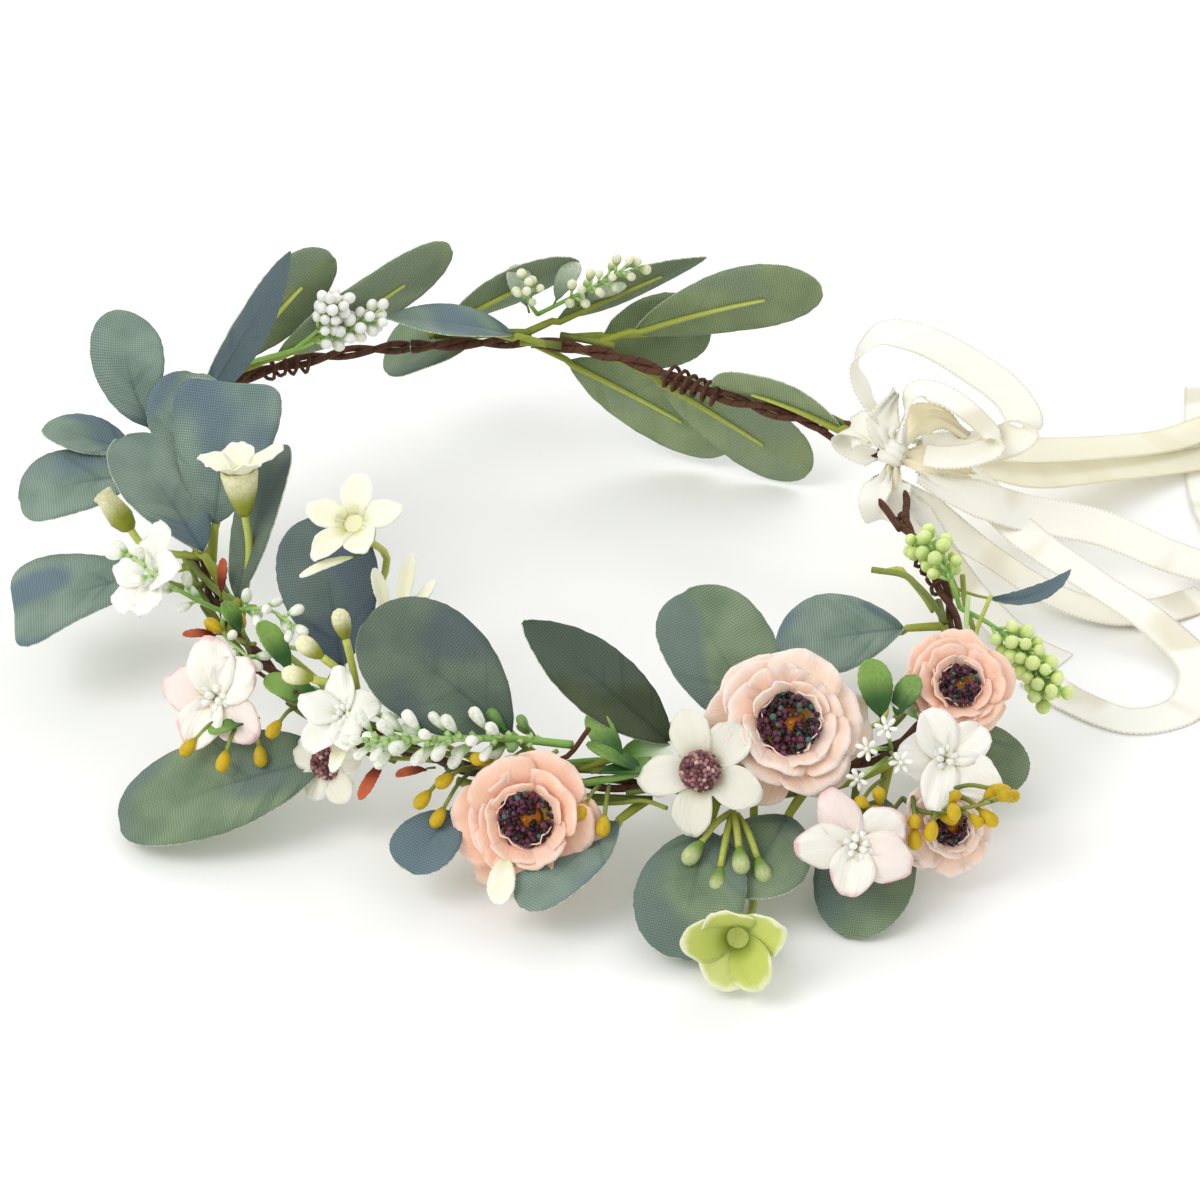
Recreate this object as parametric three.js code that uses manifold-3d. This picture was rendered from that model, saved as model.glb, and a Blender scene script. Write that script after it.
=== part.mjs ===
// A flower crown: a bendable wire band with sprays of fabric leaves, flowers and berries bound
// along it, and a satin ribbon tied in a bow through the eyelets at the band's two ends.
// Millimetres, +Z up, lying on a table at z = 0. Angles are degrees, counter-clockwise from +X
// seen from above, measured round the middle of the head opening.

import * as THREE from 'three';
import { mergeVertices } from 'three/addons/utils/BufferGeometryUtils.js';
import Module from 'manifold-3d';

const wasm = await Module();
wasm.setup();

// ---- Driving dimensions ----

const GAP = 0.3; // clear space kept between neighbouring pieces
const WIRE = { wide: 1.8, thin: 1.1, pitch: 24, sides: 6, step: 2.8 }; // the twisted pair's half sizes
const EYELET = { wire: 0.9, long: 15, wide: 4.2 };
const BINDING = { wire: 0.5, turnSides: 8, clear: 0.4 };
const STEM = 1.0; // radius of a leaf or flower stem
const PETIOLE = 0.75;
const REACH = WIRE.wide + GAP + STEM + 0.1; // from the band's middle to a stem's middle
const RIBBON = { wide: 10, thick: 0.8 };
const FLAT = 0.3; // height of a ribbon's middle where it lies on the table
const LEAF_THICK = 0.9;
const RIB_THICK = 1.7;
const DOME_SIDES = 9; // round the mound of grains in a daisy
const SMOOTHING = 0.06; // detail finer than this is merged away after cutting

// The crown leans forward: its back rides higher on the leaves that hang below it.
const LEAN = { middle: 28, back: 0.12, right: -0.03 };

// From the middle of the head opening to the middle of the whole crown's outline.
const CENTRE = [28.06, -3.32];

// The band's plan: a head-shaped oval, as [angle, radius].
const BAND_PLAN = [
  [16, 80], [32, 82], [48, 73], [62, 70], [78, 74], [95, 79], [112, 83], [128, 92], [144, 102],
  [158, 100], [175, 91], [200, 83], [225, 79], [255, 78], [280, 80], [300, 89], [318, 98],
  [334, 99], [350, 91], [365, 83],
];
const BAND_ENDS = { lower: 10, upper: 36 };
const HINGE_AT = 118; // the bare stretch of wire that bends when the crown is opened

// ---- Colours and finishes ----

const finish = (color, roughness, metalness = 0) => ({ color, roughness, metalness });
const LOOK = {
  wire: finish(0x4f2c1a, 0.8),
  satin: finish(0xf3ebd2, 0.35),
  sheer: finish(0xf2ecd6, 0.45),
  sage: finish(0x6c8478, 0.85),
  blueLeaf: finish(0x5d7479, 0.85),
  darkLeaf: finish(0x566c5f, 0.85),
  paleLeaf: finish(0x8fa392, 0.85),
  whiteLeaf: finish(0xcfdcc0, 0.8),
  peach: finish(0xf6cdb8, 0.8),
  coral: finish(0xf0b29c, 0.8),
  stamen: finish(0x3b2028, 0.7),
  cream: finish(0xf3ecdc, 0.8),
  blush: finish(0xf4dfd8, 0.8),
  mauve: finish(0x8d6468, 0.9),
  creamGreen: finish(0xe9e8bd, 0.7),
  lime: finish(0xb5cf72, 0.7),
  mustard: finish(0xc9ac2a, 0.6),
  budWhite: finish(0xeef2e2, 0.6),
};

// ---- Vectors and frames ----

const vec = (x, y, z) => new THREE.Vector3(x, y, z);
const at = (list) => vec(...list);
const rad = (degrees) => THREE.MathUtils.degToRad(degrees);
const UP = vec(0, 0, 1);

function direction(heading, rise) {
  const flat = Math.cos(rad(rise));
  return vec(flat * Math.cos(rad(heading)), flat * Math.sin(rad(heading)), Math.sin(rad(rise)));
}

function along(start, way, distance) {
  return start.clone().addScaledVector(way, distance);
}

// A frame that looks along a direction: side is level, top is the upward normal, both rolled.
function framed(forward, roll = 0) {
  const side = forward.clone().cross(UP);
  if (side.lengthSq() < 1e-6) side.set(1, 0, 0);
  side.normalize();
  side.applyAxisAngle(forward, rad(roll));
  const top = side.clone().cross(forward);
  return { forward: forward.clone(), side, top };
}

// ---- The band's curve ----

const leanHeight = (x, y) => LEAN.middle + LEAN.back * y + LEAN.right * x;

const bandCurve = new THREE.CatmullRomCurve3(
  BAND_PLAN.map(([angle, radius]) => vec(
    radius * Math.cos(rad(angle)), radius * Math.sin(rad(angle)), 0,
  )),
  true,
  'centripetal',
);
const BAND_SAMPLES = bandCurve.getPoints(720);

function bandPoint(angle) {
  const target = ((angle % 360) + 360) % 360;
  let best = BAND_SAMPLES[0];
  let bestMiss = 360;
  for (const p of BAND_SAMPLES) {
    const own = (THREE.MathUtils.radToDeg(Math.atan2(p.y, p.x)) + 360) % 360;
    const miss = Math.abs(((own - target + 540) % 360) - 180);
    if (miss < bestMiss) {
      bestMiss = miss;
      best = p;
    }
  }
  return vec(best.x, best.y, leanHeight(best.x, best.y));
}

// A point beside the band: around 0 is outward, 90 above, 180 inward, 270 below.
function beside(angle, around, reach = REACH) {
  const here = bandPoint(angle);
  const tangent = bandPoint(angle + 3).sub(bandPoint(angle - 3)).normalize();
  const outward = tangent.clone().cross(UP).normalize();
  const upward = outward.clone().cross(tangent);
  return along(
    along(here, outward, reach * Math.cos(rad(around))), upward, reach * Math.sin(rad(around)),
  );
}

// ---- Closed solids ----

function solid(points, faces) {
  let volume = 0;
  for (const [a, b, c] of faces) volume += points[a].dot(points[b].clone().cross(points[c]));
  const turned = volume < 0 ? faces.map(([a, b, c]) => [a, c, b]) : faces;
  return new wasm.Manifold(new wasm.Mesh({
    numProp: 3,
    vertProperties: new Float32Array(points.flatMap((p) => [p.x, p.y, p.z])),
    triVerts: new Uint32Array(turned.flat()),
  }));
}

// Skins a row of matching outlines and closes both ends on their middles.
function loft(rings) {
  const count = rings[0].length;
  const points = rings.flat();
  const faces = [];
  for (let i = 0; i + 1 < rings.length; i += 1) {
    for (let j = 0; j < count; j += 1) {
      const a = i * count + j;
      const b = i * count + ((j + 1) % count);
      faces.push([a, b, b + count], [a, b + count, a + count]);
    }
  }
  for (const [first, isStart] of [[0, true], [(rings.length - 1) * count, false]]) {
    const middle = points.length;
    const ring = points.slice(first, first + count);
    points.push(ring.reduce((sum, p) => sum.add(p), vec(0, 0, 0)).divideScalar(count));
    for (let j = 0; j < count; j += 1) {
      const a = first + j;
      const b = first + ((j + 1) % count);
      faces.push(isStart ? [middle, b, a] : [middle, a, b]);
    }
  }
  return solid(points, faces);
}

// Frames carried along a path with no sudden turn.
function pathFrames(points) {
  const frames = [];
  let side = null;
  points.forEach((p, i) => {
    const before = points[Math.max(0, i - 1)];
    const after = points[Math.min(points.length - 1, i + 1)];
    const forward = after.clone().sub(before).normalize();
    if (side === null) side = framed(forward).side;
    side = side.clone().addScaledVector(forward, -side.dot(forward)).normalize();
    frames.push({ point: p, forward, side, top: side.clone().cross(forward) });
  });
  return frames;
}

// A round or oval rod along a path. twist is degrees of turn per millimetre.
function rod(points, { wide, thin = wide, sides = 5, twist = 0, taper = 1, grow = 0 }) {
  const frames = pathFrames(points);
  let travelled = 0;
  return loft(frames.map(({ point, forward, side, top }, i) => {
    if (i > 0) travelled += point.distanceTo(frames[i - 1].point);
    const share = THREE.MathUtils.lerp(1, taper, i / (frames.length - 1));
    const isEnd = i === 0 ? -1 : Number(i === frames.length - 1);
    const middle = along(point, forward, isEnd * grow);
    return Array.from({ length: sides }, (_, j) => {
      const turn = (2 * Math.PI * j) / sides;
      const across = (wide * share + grow) * Math.cos(turn);
      const over = (thin * share + grow) * Math.sin(turn);
      const spin = rad(travelled * twist);
      return middle.clone()
        .addScaledVector(side, across * Math.cos(spin) - over * Math.sin(spin))
        .addScaledVector(top, across * Math.sin(spin) + over * Math.cos(spin));
    });
  }));
}

function smooth(points, count) {
  return new THREE.CatmullRomCurve3(points, false, 'centripetal').getSpacedPoints(count);
}

// A small faceted bead, long along its own direction.
function bead(centre, size, stretch = 1, way = UP, grow = 0) {
  const shape = new THREE.OctahedronGeometry(size + grow, 0);
  shape.scale(1, 1, stretch);
  shape.applyQuaternion(new THREE.Quaternion().setFromUnitVectors(UP, way));
  shape.translate(centre.x, centre.y, centre.z);
  return fromGeometry(shape);
}

function fromGeometry(geometry) {
  const bare = geometry.clone();
  bare.deleteAttribute('normal');
  bare.deleteAttribute('uv');
  const merged = mergeVertices(bare, 1e-4);
  const position = merged.getAttribute('position');
  const points = Array.from(
    { length: position.count }, (_, i) => vec(0, 0, 0).fromBufferAttribute(position, i),
  );
  const index = Array.from(merged.getIndex().array);
  const faces = [];
  for (let i = 0; i < index.length; i += 3) faces.push(index.slice(i, i + 3));
  return solid(points, faces);
}

function joined(solids) {
  return wasm.Manifold.union(solids);
}

// ---- Leaves ----

// Half width along the blade, as a share of its greatest half width.
const BLADE = {
  oval: [[0, 0.1], [0.12, 0.5], [0.32, 0.86], [0.58, 1], [0.82, 0.82], [0.95, 0.45], [1, 0.12]],
  round: [[0, 0.14], [0.1, 0.6], [0.3, 0.95], [0.58, 1], [0.82, 0.84], [0.95, 0.48], [1, 0.14]],
  narrow: [[0, 0.15], [0.15, 0.6], [0.4, 1], [0.65, 0.9], [0.85, 0.55], [1, 0.08]],
  square: [[0, 0.12], [0.15, 0.55], [0.4, 0.9], [0.7, 1], [0.9, 0.92], [1, 0.7]],
};

// heading and rise give the straight line from base to tip. bend curls the tip down over the
// length, sweep curves it sideways, roll turns the face, and cup lifts the two edges.
function leafRings(leaf, start, grow) {
  const { heading, rise, roll = 0, long, wide, bend = 20, sweep = 0, cup = 0.12, stalk = 9 } = leaf;
  const profile = BLADE[leaf.shape ?? 'oval'];
  const stations = [
    [0, 0], ...profile.map(([share, half]) => [stalk + share * (long - stalk), half * wide * 0.5]),
  ];
  const chord = framed(direction(heading, rise), roll);
  const rings = [];
  let point = start.clone();
  let travelled = 0;
  stations.forEach(([distance, half], i) => {
    const share = distance / long - 0.5;
    const forward = chord.forward.clone()
      .applyAxisAngle(chord.side, rad(-bend * share))
      .applyAxisAngle(chord.top, rad(sweep * share));
    const side = chord.side.clone().applyAxisAngle(chord.top, rad(sweep * share));
    const top = side.clone().cross(forward).normalize();
    const middleWay = chord.forward.clone()
      .applyAxisAngle(chord.side, rad(-bend * ((distance + travelled) / 2 / long - 0.5)))
      .applyAxisAngle(chord.top, rad(sweep * ((distance + travelled) / 2 / long - 0.5)));
    point = along(point, middleWay, distance - travelled);
    travelled = distance;
    const isEnd = i === 0 ? -1 : Number(i === stations.length - 1);
    const middle = along(point, forward, isEnd * grow);
    const w = Math.max(half, PETIOLE) + grow;
    const edge = LEAF_THICK / 2 + grow;
    const rib = (half > PETIOLE ? RIB_THICK : 2 * PETIOLE) / 2 + grow;
    const lift = cup * Math.max(0, half - PETIOLE);
    const place = (
      across, over,
    ) => middle.clone().addScaledVector(side, across).addScaledVector(top, over);
    rings.push([
      place(-w, lift + edge), place(0, edge), place(w, lift + edge),
      place(w, lift - edge), place(0, -rib), place(-w, lift - edge),
    ]);
  });
  return rings;
}

// A spray: one stem bound along the band, and the leaves that leave it.
function spray({ stem, leaves }, grow) {
  const [from, to] = stem.span;
  const steps = Math.max(2, Math.ceil(Math.abs(to - from) / 6));
  const path = Array.from({ length: steps + 1 }, (_, i) => (
    beside(THREE.MathUtils.lerp(from, to, i / steps), stem.around)
  ));
  const solids = [rod(path, { wide: STEM, grow })];
  for (const leaf of leaves) solids.push(loft(leafRings(leaf, beside(leaf.at, stem.around), grow)));
  return joined(solids);
}

// ---- Flowers ----

// One petal from the flower's middle. lift is its rise from the flower's flat, curl turns its end.
function petal(frame, turn, { inner, long, wide, lift, curl, thick = 0.8, height = 0 }, grow) {
  const outward = frame.side.clone().applyAxisAngle(frame.forward, rad(turn));
  const across = outward.clone().cross(frame.forward).normalize();
  const shape = [[0, 0.35], [0.6, 1], [1, 0.6]];
  let point = along(along(frame.point, outward, inner), frame.forward, height);
  let before = 0;
  return loft(shape.map(([share, half], i) => {
    const slope = rad(lift + curl * (share - 0.5));
    const way = outward.clone().multiplyScalar(Math.cos(slope)).addScaledVector(
      frame.forward, Math.sin(slope),
    );
    point = along(point, way, (share - before) * long);
    before = share;
    const over = across.clone().cross(way).negate().normalize();
    const isEnd = i === 0 ? -1 : Number(i === shape.length - 1);
    const middle = along(point, way, isEnd * grow);
    const w = half * wide * 0.5 + grow;
    const t = thick / 2 + grow;
    return [
      middle.clone().addScaledVector(across, -w).addScaledVector(over, w * 0.15),
      middle.clone().addScaledVector(over, t),
      middle.clone().addScaledVector(across, w).addScaledVector(over, w * 0.15),
      middle.clone().addScaledVector(over, -t),
    ];
  }));
}

function petalRing(frame, count, turn, shape, grow) {
  return Array.from({ length: count }, (_, i) => petal(frame, turn + (360 * i) / count, shape, grow));
}

function flowerFrame(flower) {
  const frame = framed(direction(...flower.faces), flower.turn ?? 0);
  frame.point = at(flower.head);
  return frame;
}

// The stem from its place beside the band into the back of the flower's head.
function flowerStem(flower, depth, grow) {
  const frame = flowerFrame(flower);
  const start = beside(flower.at, flower.around ?? 60);
  const end = along(frame.point, frame.forward, -depth);
  const before = along(end, frame.forward, -0.35 * start.distanceTo(end));
  return rod(smooth([start, before, end], 5), { wide: STEM * 0.9, grow });
}

// A round section of a flower, radius wide, so far ahead of the flower's point.
function ringAt(frame, radius, ahead, sides = 8) {
  return Array.from({ length: sides }, (_, j) => {
    const turn = (2 * Math.PI * j) / sides;
    return along(frame.point, frame.forward, ahead)
      .addScaledVector(frame.side, radius * Math.cos(turn))
      .addScaledVector(frame.top, radius * Math.sin(turn));
  });
}

// A flat disc under the petals that joins them.
function disc(frame, radius, low, high, grow) {
  return loft([ringAt(frame, radius + grow, low - grow), ringAt(frame, radius + grow, high + grow)]);
}

function peachPetals(flower, grow) {
  const frame = flowerFrame(flower);
  const s = flower.size;
  return joined([
    flowerStem(flower, 0.2 * s, grow),
    disc(frame, 0.46 * s, -0.22 * s, -0.08 * s, grow),
    ...petalRing(
      frame, 6, 0,
      { inner: 0.36 * s, long: 0.66 * s, wide: 0.84 * s, lift: 6, curl: -20, height: -0.14 * s },
      grow,
    ),
    ...petalRing(
      frame, 5, 25,
      { inner: 0.38 * s, long: 0.5 * s, wide: 0.7 * s, lift: 34, curl: -10, height: -0.1 * s }, grow,
    ),
    ...petalRing(
      frame, 4, 10,
      { inner: 0.4 * s, long: 0.34 * s, wide: 0.55 * s, lift: 62, curl: 10, height: -0.1 * s }, grow,
    ),
  ]);
}

function peachCentre(flower, grow) {
  const frame = flowerFrame(flower);
  const s = flower.size;
  const beads = Array.from({ length: 9 }, (_, i) => {
    const turn = rad(40 * i);
    const spot = along(frame.point, frame.forward, 0.08 * s)
      .addScaledVector(frame.side, 0.24 * s * Math.cos(turn))
      .addScaledVector(frame.top, 0.24 * s * Math.sin(turn));
    return bead(spot, 0.09 * s, 1.2, frame.forward, grow);
  });
  return joined([disc(frame, 0.28 * s, -0.05 * s, 0.08 * s, grow), ...beads]);
}

function daisyPetals(flower, grow) {
  const frame = flowerFrame(flower);
  const s = flower.size;
  return joined([
    flowerStem(flower, 0.2 * s, grow),
    disc(frame, 0.36 * s, -0.24 * s, -0.06 * s, grow),
    ...petalRing(
      frame, 6, 0,
      { inner: 0.28 * s, long: 0.72 * s, wide: 0.6 * s, lift: 4, curl: -40, height: -0.14 * s }, grow,
    ),
  ]);
}

function dome(flower, radius, height, low, grow) {
  const frame = flowerFrame(flower);
  const ring = (share, level) => ringAt(frame, radius * share + grow, level, DOME_SIDES);
  return loft([
    ring(0.8, low - grow),
    ring(1, low + height * 0.35),
    ring(0.8, low + height * 0.75),
    ring(0.3, low + height + grow),
  ]);
}

function daisyCentre(flower, grow) {
  return dome(flower, 0.3 * flower.size, 0.5 * flower.size, GAP - 0.06 * flower.size, grow);
}

function smallDaisy(flower, grow) {
  const frame = flowerFrame(flower);
  const s = flower.size;
  return joined([
    flowerStem(flower, 0.1 * s, grow),
    dome(flower, 0.34 * s, 0.5 * s, -0.1 * s, grow),
    ...petalRing(frame, 5, 0, { inner: 0.2 * s, long: 0.8 * s, wide: 0.7 * s, lift: 4, curl: -40 }, grow),
  ]);
}

function blossom(flower, grow) {
  const frame = flowerFrame(flower);
  const s = flower.size;
  const tuft = bead(along(frame.point, frame.forward, 0.18 * s), 0.16 * s, 1.3, frame.forward, grow);
  return joined([
    flowerStem(flower, 0.05 * s, grow),
    disc(frame, 0.26 * s, -0.1 * s, 0.08 * s, grow),
    ...petalRing(
      frame, 5, 0, { inner: 0.12 * s, long: 0.9 * s, wide: 0.8 * s, lift: 14, curl: -24, height: 0 },
      grow,
    ),
    tuft,
  ]);
}

// A bell: a green cup that opens into pointed lobes.
function bell(flower, grow) {
  const frame = flowerFrame(flower);
  const s = flower.size;
  const ring = (radius, level) => ringAt(frame, radius * s + grow, level * s);
  const cup = loft([ring(0.12, -0.9), ring(0.3, -0.5), ring(0.36, -0.1), ring(0.3, 0)]);
  const lobes = petalRing(frame, 5, 0, {
    inner: 0.22 * s, long: 0.75 * s, wide: 0.6 * s, lift: flower.open ?? 30, curl: -40, height: -0.1 * s,
  }, grow);
  return joined([flowerStem(flower, 0.85 * s, grow), cup, ...lobes]);
}

function bud(flower, grow) {
  const frame = flowerFrame(flower);
  const s = flower.size;
  return joined([
    flowerStem(flower, 0.6 * s, grow),
    bead(frame.point, 0.5 * s, 1.7, frame.forward, grow),
    bead(along(frame.point, frame.forward, -0.4 * s), 0.42 * s, 1.2, frame.forward, grow),
  ]);
}

// ---- Sprigs ----

// A stem with beads set round it. spots are counted along the path and spiral round it.
function sprig({ path, beads, size, spread, thick = 0.7, bare = 0.15 }, grow) {
  const points = smooth(path.map(at), 10);
  const frames = pathFrames(points);
  const solids = [rod(points, { wide: thick, sides: 4, taper: 0.7, grow })];
  for (let i = 0; i < beads; i += 1) {
    const share = bare + ((1 - bare) * (i + 0.5)) / beads;
    const frame = frames[Math.min(frames.length - 1, Math.round(share * (frames.length - 1)))];
    const turn = rad(137.5 * i);
    const way = frame.forward.clone().multiplyScalar(0.6)
      .addScaledVector(frame.side, Math.cos(turn))
      .addScaledVector(frame.top, Math.sin(turn))
      .normalize();
    solids.push(bead(along(frame.point, way, spread / 2), size, (0.6 * spread) / size, way, grow));
  }
  return joined(solids);
}

function sprigGroup({ twigs }, grow) {
  return joined(twigs.map((twig) => sprig(twig, grow)));
}

// ---- Wire ----

function bandStretch(from, to, grow) {
  const points = [];
  const steps = Math.ceil((Math.abs(to - from) * Math.PI * 85) / 180 / WIRE.step);
  for (let i = 0; i <= steps; i += 1) points.push(bandPoint(THREE.MathUtils.lerp(from, to, i / steps)));
  return rod(
    points, { wide: WIRE.wide, thin: WIRE.thin, sides: WIRE.sides, twist: 360 / WIRE.pitch, grow },
  );
}

// The end of the band folded back into a long loop that the ribbon goes through.
function eyelet({ end, heading, rise, roll }, grow) {
  const start = bandPoint(end);
  const frame = framed(direction(heading, rise), roll);
  const outline = [[-4.5, 0.2], [2, 0.6], [8, 1], [12.5, 0.85], [EYELET.long, 0.1], [EYELET.long, -0.15]];
  return joined([1, -1].map((half) => {
    const points = outline.map(([ahead, across]) => (
      along(along(start, frame.forward, ahead), frame.side, half * across * EYELET.wide)
    ));
    return rod(smooth(points, 9), { wide: EYELET.wire, sides: 6, grow });
  }));
}

function bindingCoil({ from, to, turns, radius = WIRE.wide + BINDING.clear + BINDING.wire }, grow) {
  const points = [];
  const steps = turns * BINDING.turnSides;
  for (let i = 0; i <= steps; i += 1) {
    points.push(beside(THREE.MathUtils.lerp(from, to, i / steps), (360 * i) / BINDING.turnSides, radius));
  }
  return rod(points, { wide: BINDING.wire, sides: 4, grow });
}

// ---- Ribbon ----

// A flat strip along a path. across gives the way its width points, spread evenly along it.
function strip({ path, across, steps = 14, wide = RIBBON.wide, fold = 0 }, grow) {
  const points = smooth(path.map(at), steps);
  return loft(points.map((p, i) => {
    const before = points[Math.max(0, i - 1)];
    const after = points[Math.min(points.length - 1, i + 1)];
    const forward = after.clone().sub(before).normalize();
    const share = (i / (points.length - 1)) * (across.length - 1);
    const low = Math.min(across.length - 2, Math.floor(share));
    const side = at(across[low]).lerp(at(across[low + 1]), share - low);
    side.addScaledVector(forward, -side.dot(forward)).normalize();
    const top = side.clone().cross(forward);
    const isEnd = i === 0 ? -1 : Number(i === points.length - 1);
    const middle = along(p, forward, isEnd * grow);
    const narrow = 1 - fold * (1 - i / (points.length - 1));
    const w = (wide / 2) * narrow + grow;
    const t = RIBBON.thick / 2 + grow;
    return [[-w, t], [w, t], [w, -t], [-w, -t]].map(([sideways, over]) => (
      middle.clone().addScaledVector(side, sideways).addScaledVector(top, over)
    ));
  }));
}

// The knot: a lump of ribbon wrapped round itself.
function knot({ centre, size }, grow) {
  const shape = new THREE.IcosahedronGeometry(1, 1);
  shape.scale(...size.map((half) => half + grow));
  shape.translate(...centre);
  return fromGeometry(shape);
}

// ---- What is planted where ----

const EYELETS = {
  upper: { end: BAND_ENDS.upper, heading: -35, rise: -4, roll: 90 },
  lower: { end: BAND_ENDS.lower, heading: 100, rise: 6, roll: 15 },
};

const SPRAYS = {
  leaves_back_left: {
    look: LOOK.paleLeaf,
    stem: { span: [151, 139], around: 95 },
    leaves: [
      { at: 150, heading: 38, rise: 34, roll: -90, long: 46, wide: 20 },
      { at: 143, heading: 24, rise: 21, roll: -80, long: 61, wide: 18, bend: -25 },
    ],
  },
  leaves_left_rear: {
    look: LOOK.darkLeaf,
    stem: { span: [165, 155], around: 60 },
    leaves: [
      { at: 164, heading: 114, rise: 42, roll: 0, long: 41, wide: 18, bend: 35, sweep: -70 },
      { at: 161, heading: 54, rise: 36, roll: 84, long: 56, wide: 13, shape: 'narrow', sweep: -15 },
    ],
  },
  leaves_left_upper: {
    look: LOOK.sage,
    stem: { span: [174, 164], around: 30 },
    leaves: [
      { at: 168, heading: 192, rise: -4, roll: -15, long: 38, wide: 22, bend: 55 },
      { at: 166, heading: 168, rise: 14, long: 33, wide: 15 },
      { at: 172, heading: 80, rise: 40, roll: 10, long: 32, wide: 20, shape: 'round' },
    ],
  },
  leaves_left_front: {
    look: LOOK.blueLeaf,
    stem: { span: [198, 185], around: 130 },
    leaves: [
      { at: 188, heading: 80, rise: 50, roll: 0, long: 43, wide: 26, shape: 'square' },
      { at: 194, heading: 135, rise: 36, roll: 10, long: 43, wide: 23 },
    ],
  },
  leaves_left_outer: {
    look: LOOK.sage,
    stem: { span: [207, 184], around: 20 },
    leaves: [
      { at: 187, heading: 188, rise: -14, roll: -8, long: 43, wide: 27, shape: 'square' },
      { at: 205, heading: 68, rise: 46, roll: -28, long: 47, wide: 16 },
    ],
  },
  leaf_left_tall: {
    look: LOOK.blueLeaf,
    stem: { span: [232, 224], around: 150 },
    leaves: [{ at: 230, heading: 103, rise: 40, roll: 0, long: 45, wide: 23 }],
  },
  leaf_front_broad: {
    look: LOOK.blueLeaf,
    stem: { span: [272, 266], around: 95 },
    leaves: [{ at: 268, heading: 163, rise: 37, roll: -35, long: 53, wide: 27, stalk: 12 }],
  },
  leaf_front_low: {
    look: LOOK.sage,
    stem: { span: [242, 230], around: -60 },
    leaves: [{ at: 237, heading: 188, rise: -15, roll: -18, long: 59, wide: 26, shape: 'round' }],
  },
  leaves_front_inner: {
    look: LOOK.darkLeaf,
    stem: { span: [294, 271], around: 140 },
    leaves: [
      { at: 291, heading: 151, rise: 29, roll: -20, long: 52, wide: 17, shape: 'narrow' },
      { at: 272, heading: 8, rise: 8, roll: 15, long: 38, wide: 11, shape: 'narrow' },
    ],
  },
  leaf_front_round: {
    look: LOOK.sage,
    stem: { span: [306, 298], around: 120 },
    leaves: [{ at: 303, heading: 126, rise: 32, roll: -10, long: 46, wide: 26, shape: 'round' }],
  },
  leaf_right: {
    look: LOOK.sage,
    stem: { span: [349, 340], around: 150 },
    leaves: [{ at: 344, heading: 178, rise: -12, roll: -12, long: 40, wide: 25 }],
  },
  leaves_front_fan: {
    look: LOOK.darkLeaf,
    stem: { span: [309, 291], around: -40 },
    leaves: [
      { at: 293, heading: 257, rise: -17, long: 42, wide: 24, bend: 25, shape: 'round' },
      { at: 305, heading: 244, rise: -10, long: 34, wide: 22 },
    ],
  },
  leaves_right_fan: {
    look: LOOK.sage,
    stem: { span: [337, 315], around: -60 },
    leaves: [
      { at: 317, heading: 257, rise: -18, long: 46, wide: 22, bend: 10 },
      { at: 334, heading: 286, rise: -22, roll: 10, long: 29, wide: 18 },
    ],
  },
  leaves_front_under: {
    look: LOOK.blueLeaf,
    stem: { span: [284, 253], around: -50 },
    leaves: [
      { at: 283, heading: 228, rise: -10, roll: 5, long: 40, wide: 17 },
      { at: 256, heading: 238, rise: -14, long: 27, wide: 16 },
    ],
  },
  blade_curled: {
    look: LOOK.paleLeaf,
    stem: { span: [353, 349], around: 60 },
    leaves: [{ at: 351, heading: 15, rise: 0, roll: 40, long: 32, wide: 4, sweep: 80, shape: 'narrow' }],
  },
};

const ARM_SPRAYS = {
  leaf_back_low: {
    look: LOOK.blueLeaf,
    stem: { span: [91, 99], around: 150 },
    leaves: [{ at: 94, heading: 193, rise: 17, roll: 0, long: 43, wide: 16, shape: 'narrow' }],
  },
  leaves_back_high: {
    look: LOOK.paleLeaf,
    stem: { span: [114, 97], around: 20 },
    leaves: [
      { at: 115, heading: 22, rise: 16, roll: -68, long: 44, wide: 15, stalk: 4 },
      { at: 98, heading: 14, rise: 18, roll: -65, long: 51, wide: 13, sweep: -25, shape: 'narrow' },
      { at: 101, heading: 166, rise: -20, roll: -20, long: 36, wide: 21, shape: 'round' },
    ],
  },
  leaves_back_wide: {
    look: LOOK.paleLeaf,
    stem: { span: [92, 82], around: 20 },
    leaves: [
      { at: 85, heading: 5, rise: 12, roll: -80, long: 59, wide: 21 },
      { at: 90, heading: 15, rise: -8, roll: -92, long: 38, wide: 22, shape: 'round' },
    ],
  },
  leaves_back_hanging: {
    look: LOOK.paleLeaf,
    stem: { span: [97, 75], around: -40 },
    leaves: [
      { at: 96, heading: -5, rise: -30, roll: -92, long: 58, wide: 20, bend: 10 },
      { at: 79, heading: -9, rise: -32, roll: -84, long: 56, wide: 21, bend: 10 },
    ],
  },
  leaf_by_bow: {
    look: LOOK.paleLeaf,
    stem: { span: [30, 44], around: 90 },
    leaves: [{ at: 30, heading: 153, rise: 5, roll: 60, long: 40, wide: 17, stalk: 4 }],
  },
};

const PEACH = {
  peach_flower_large: {
    look: LOOK.peach, at: 306, around: 80, head: [49, -78, 34], faces: [283, 48], size: 18,
  },
  peach_flower_front: {
    look: LOOK.coral, at: 268, around: 10, head: [-8, -92, 19], faces: [262, 35], size: 16,
  },
  peach_flower_right: {
    look: LOOK.coral, at: 340, around: 60, head: [87.5, -62.5, 33], faces: [285, 55], size: 13,
  },
  peach_flower_side: {
    look: LOOK.peach, at: 326, around: -5, head: [84, -90.5, 15.5], faces: [290, 35], size: 11,
  },
};

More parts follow.
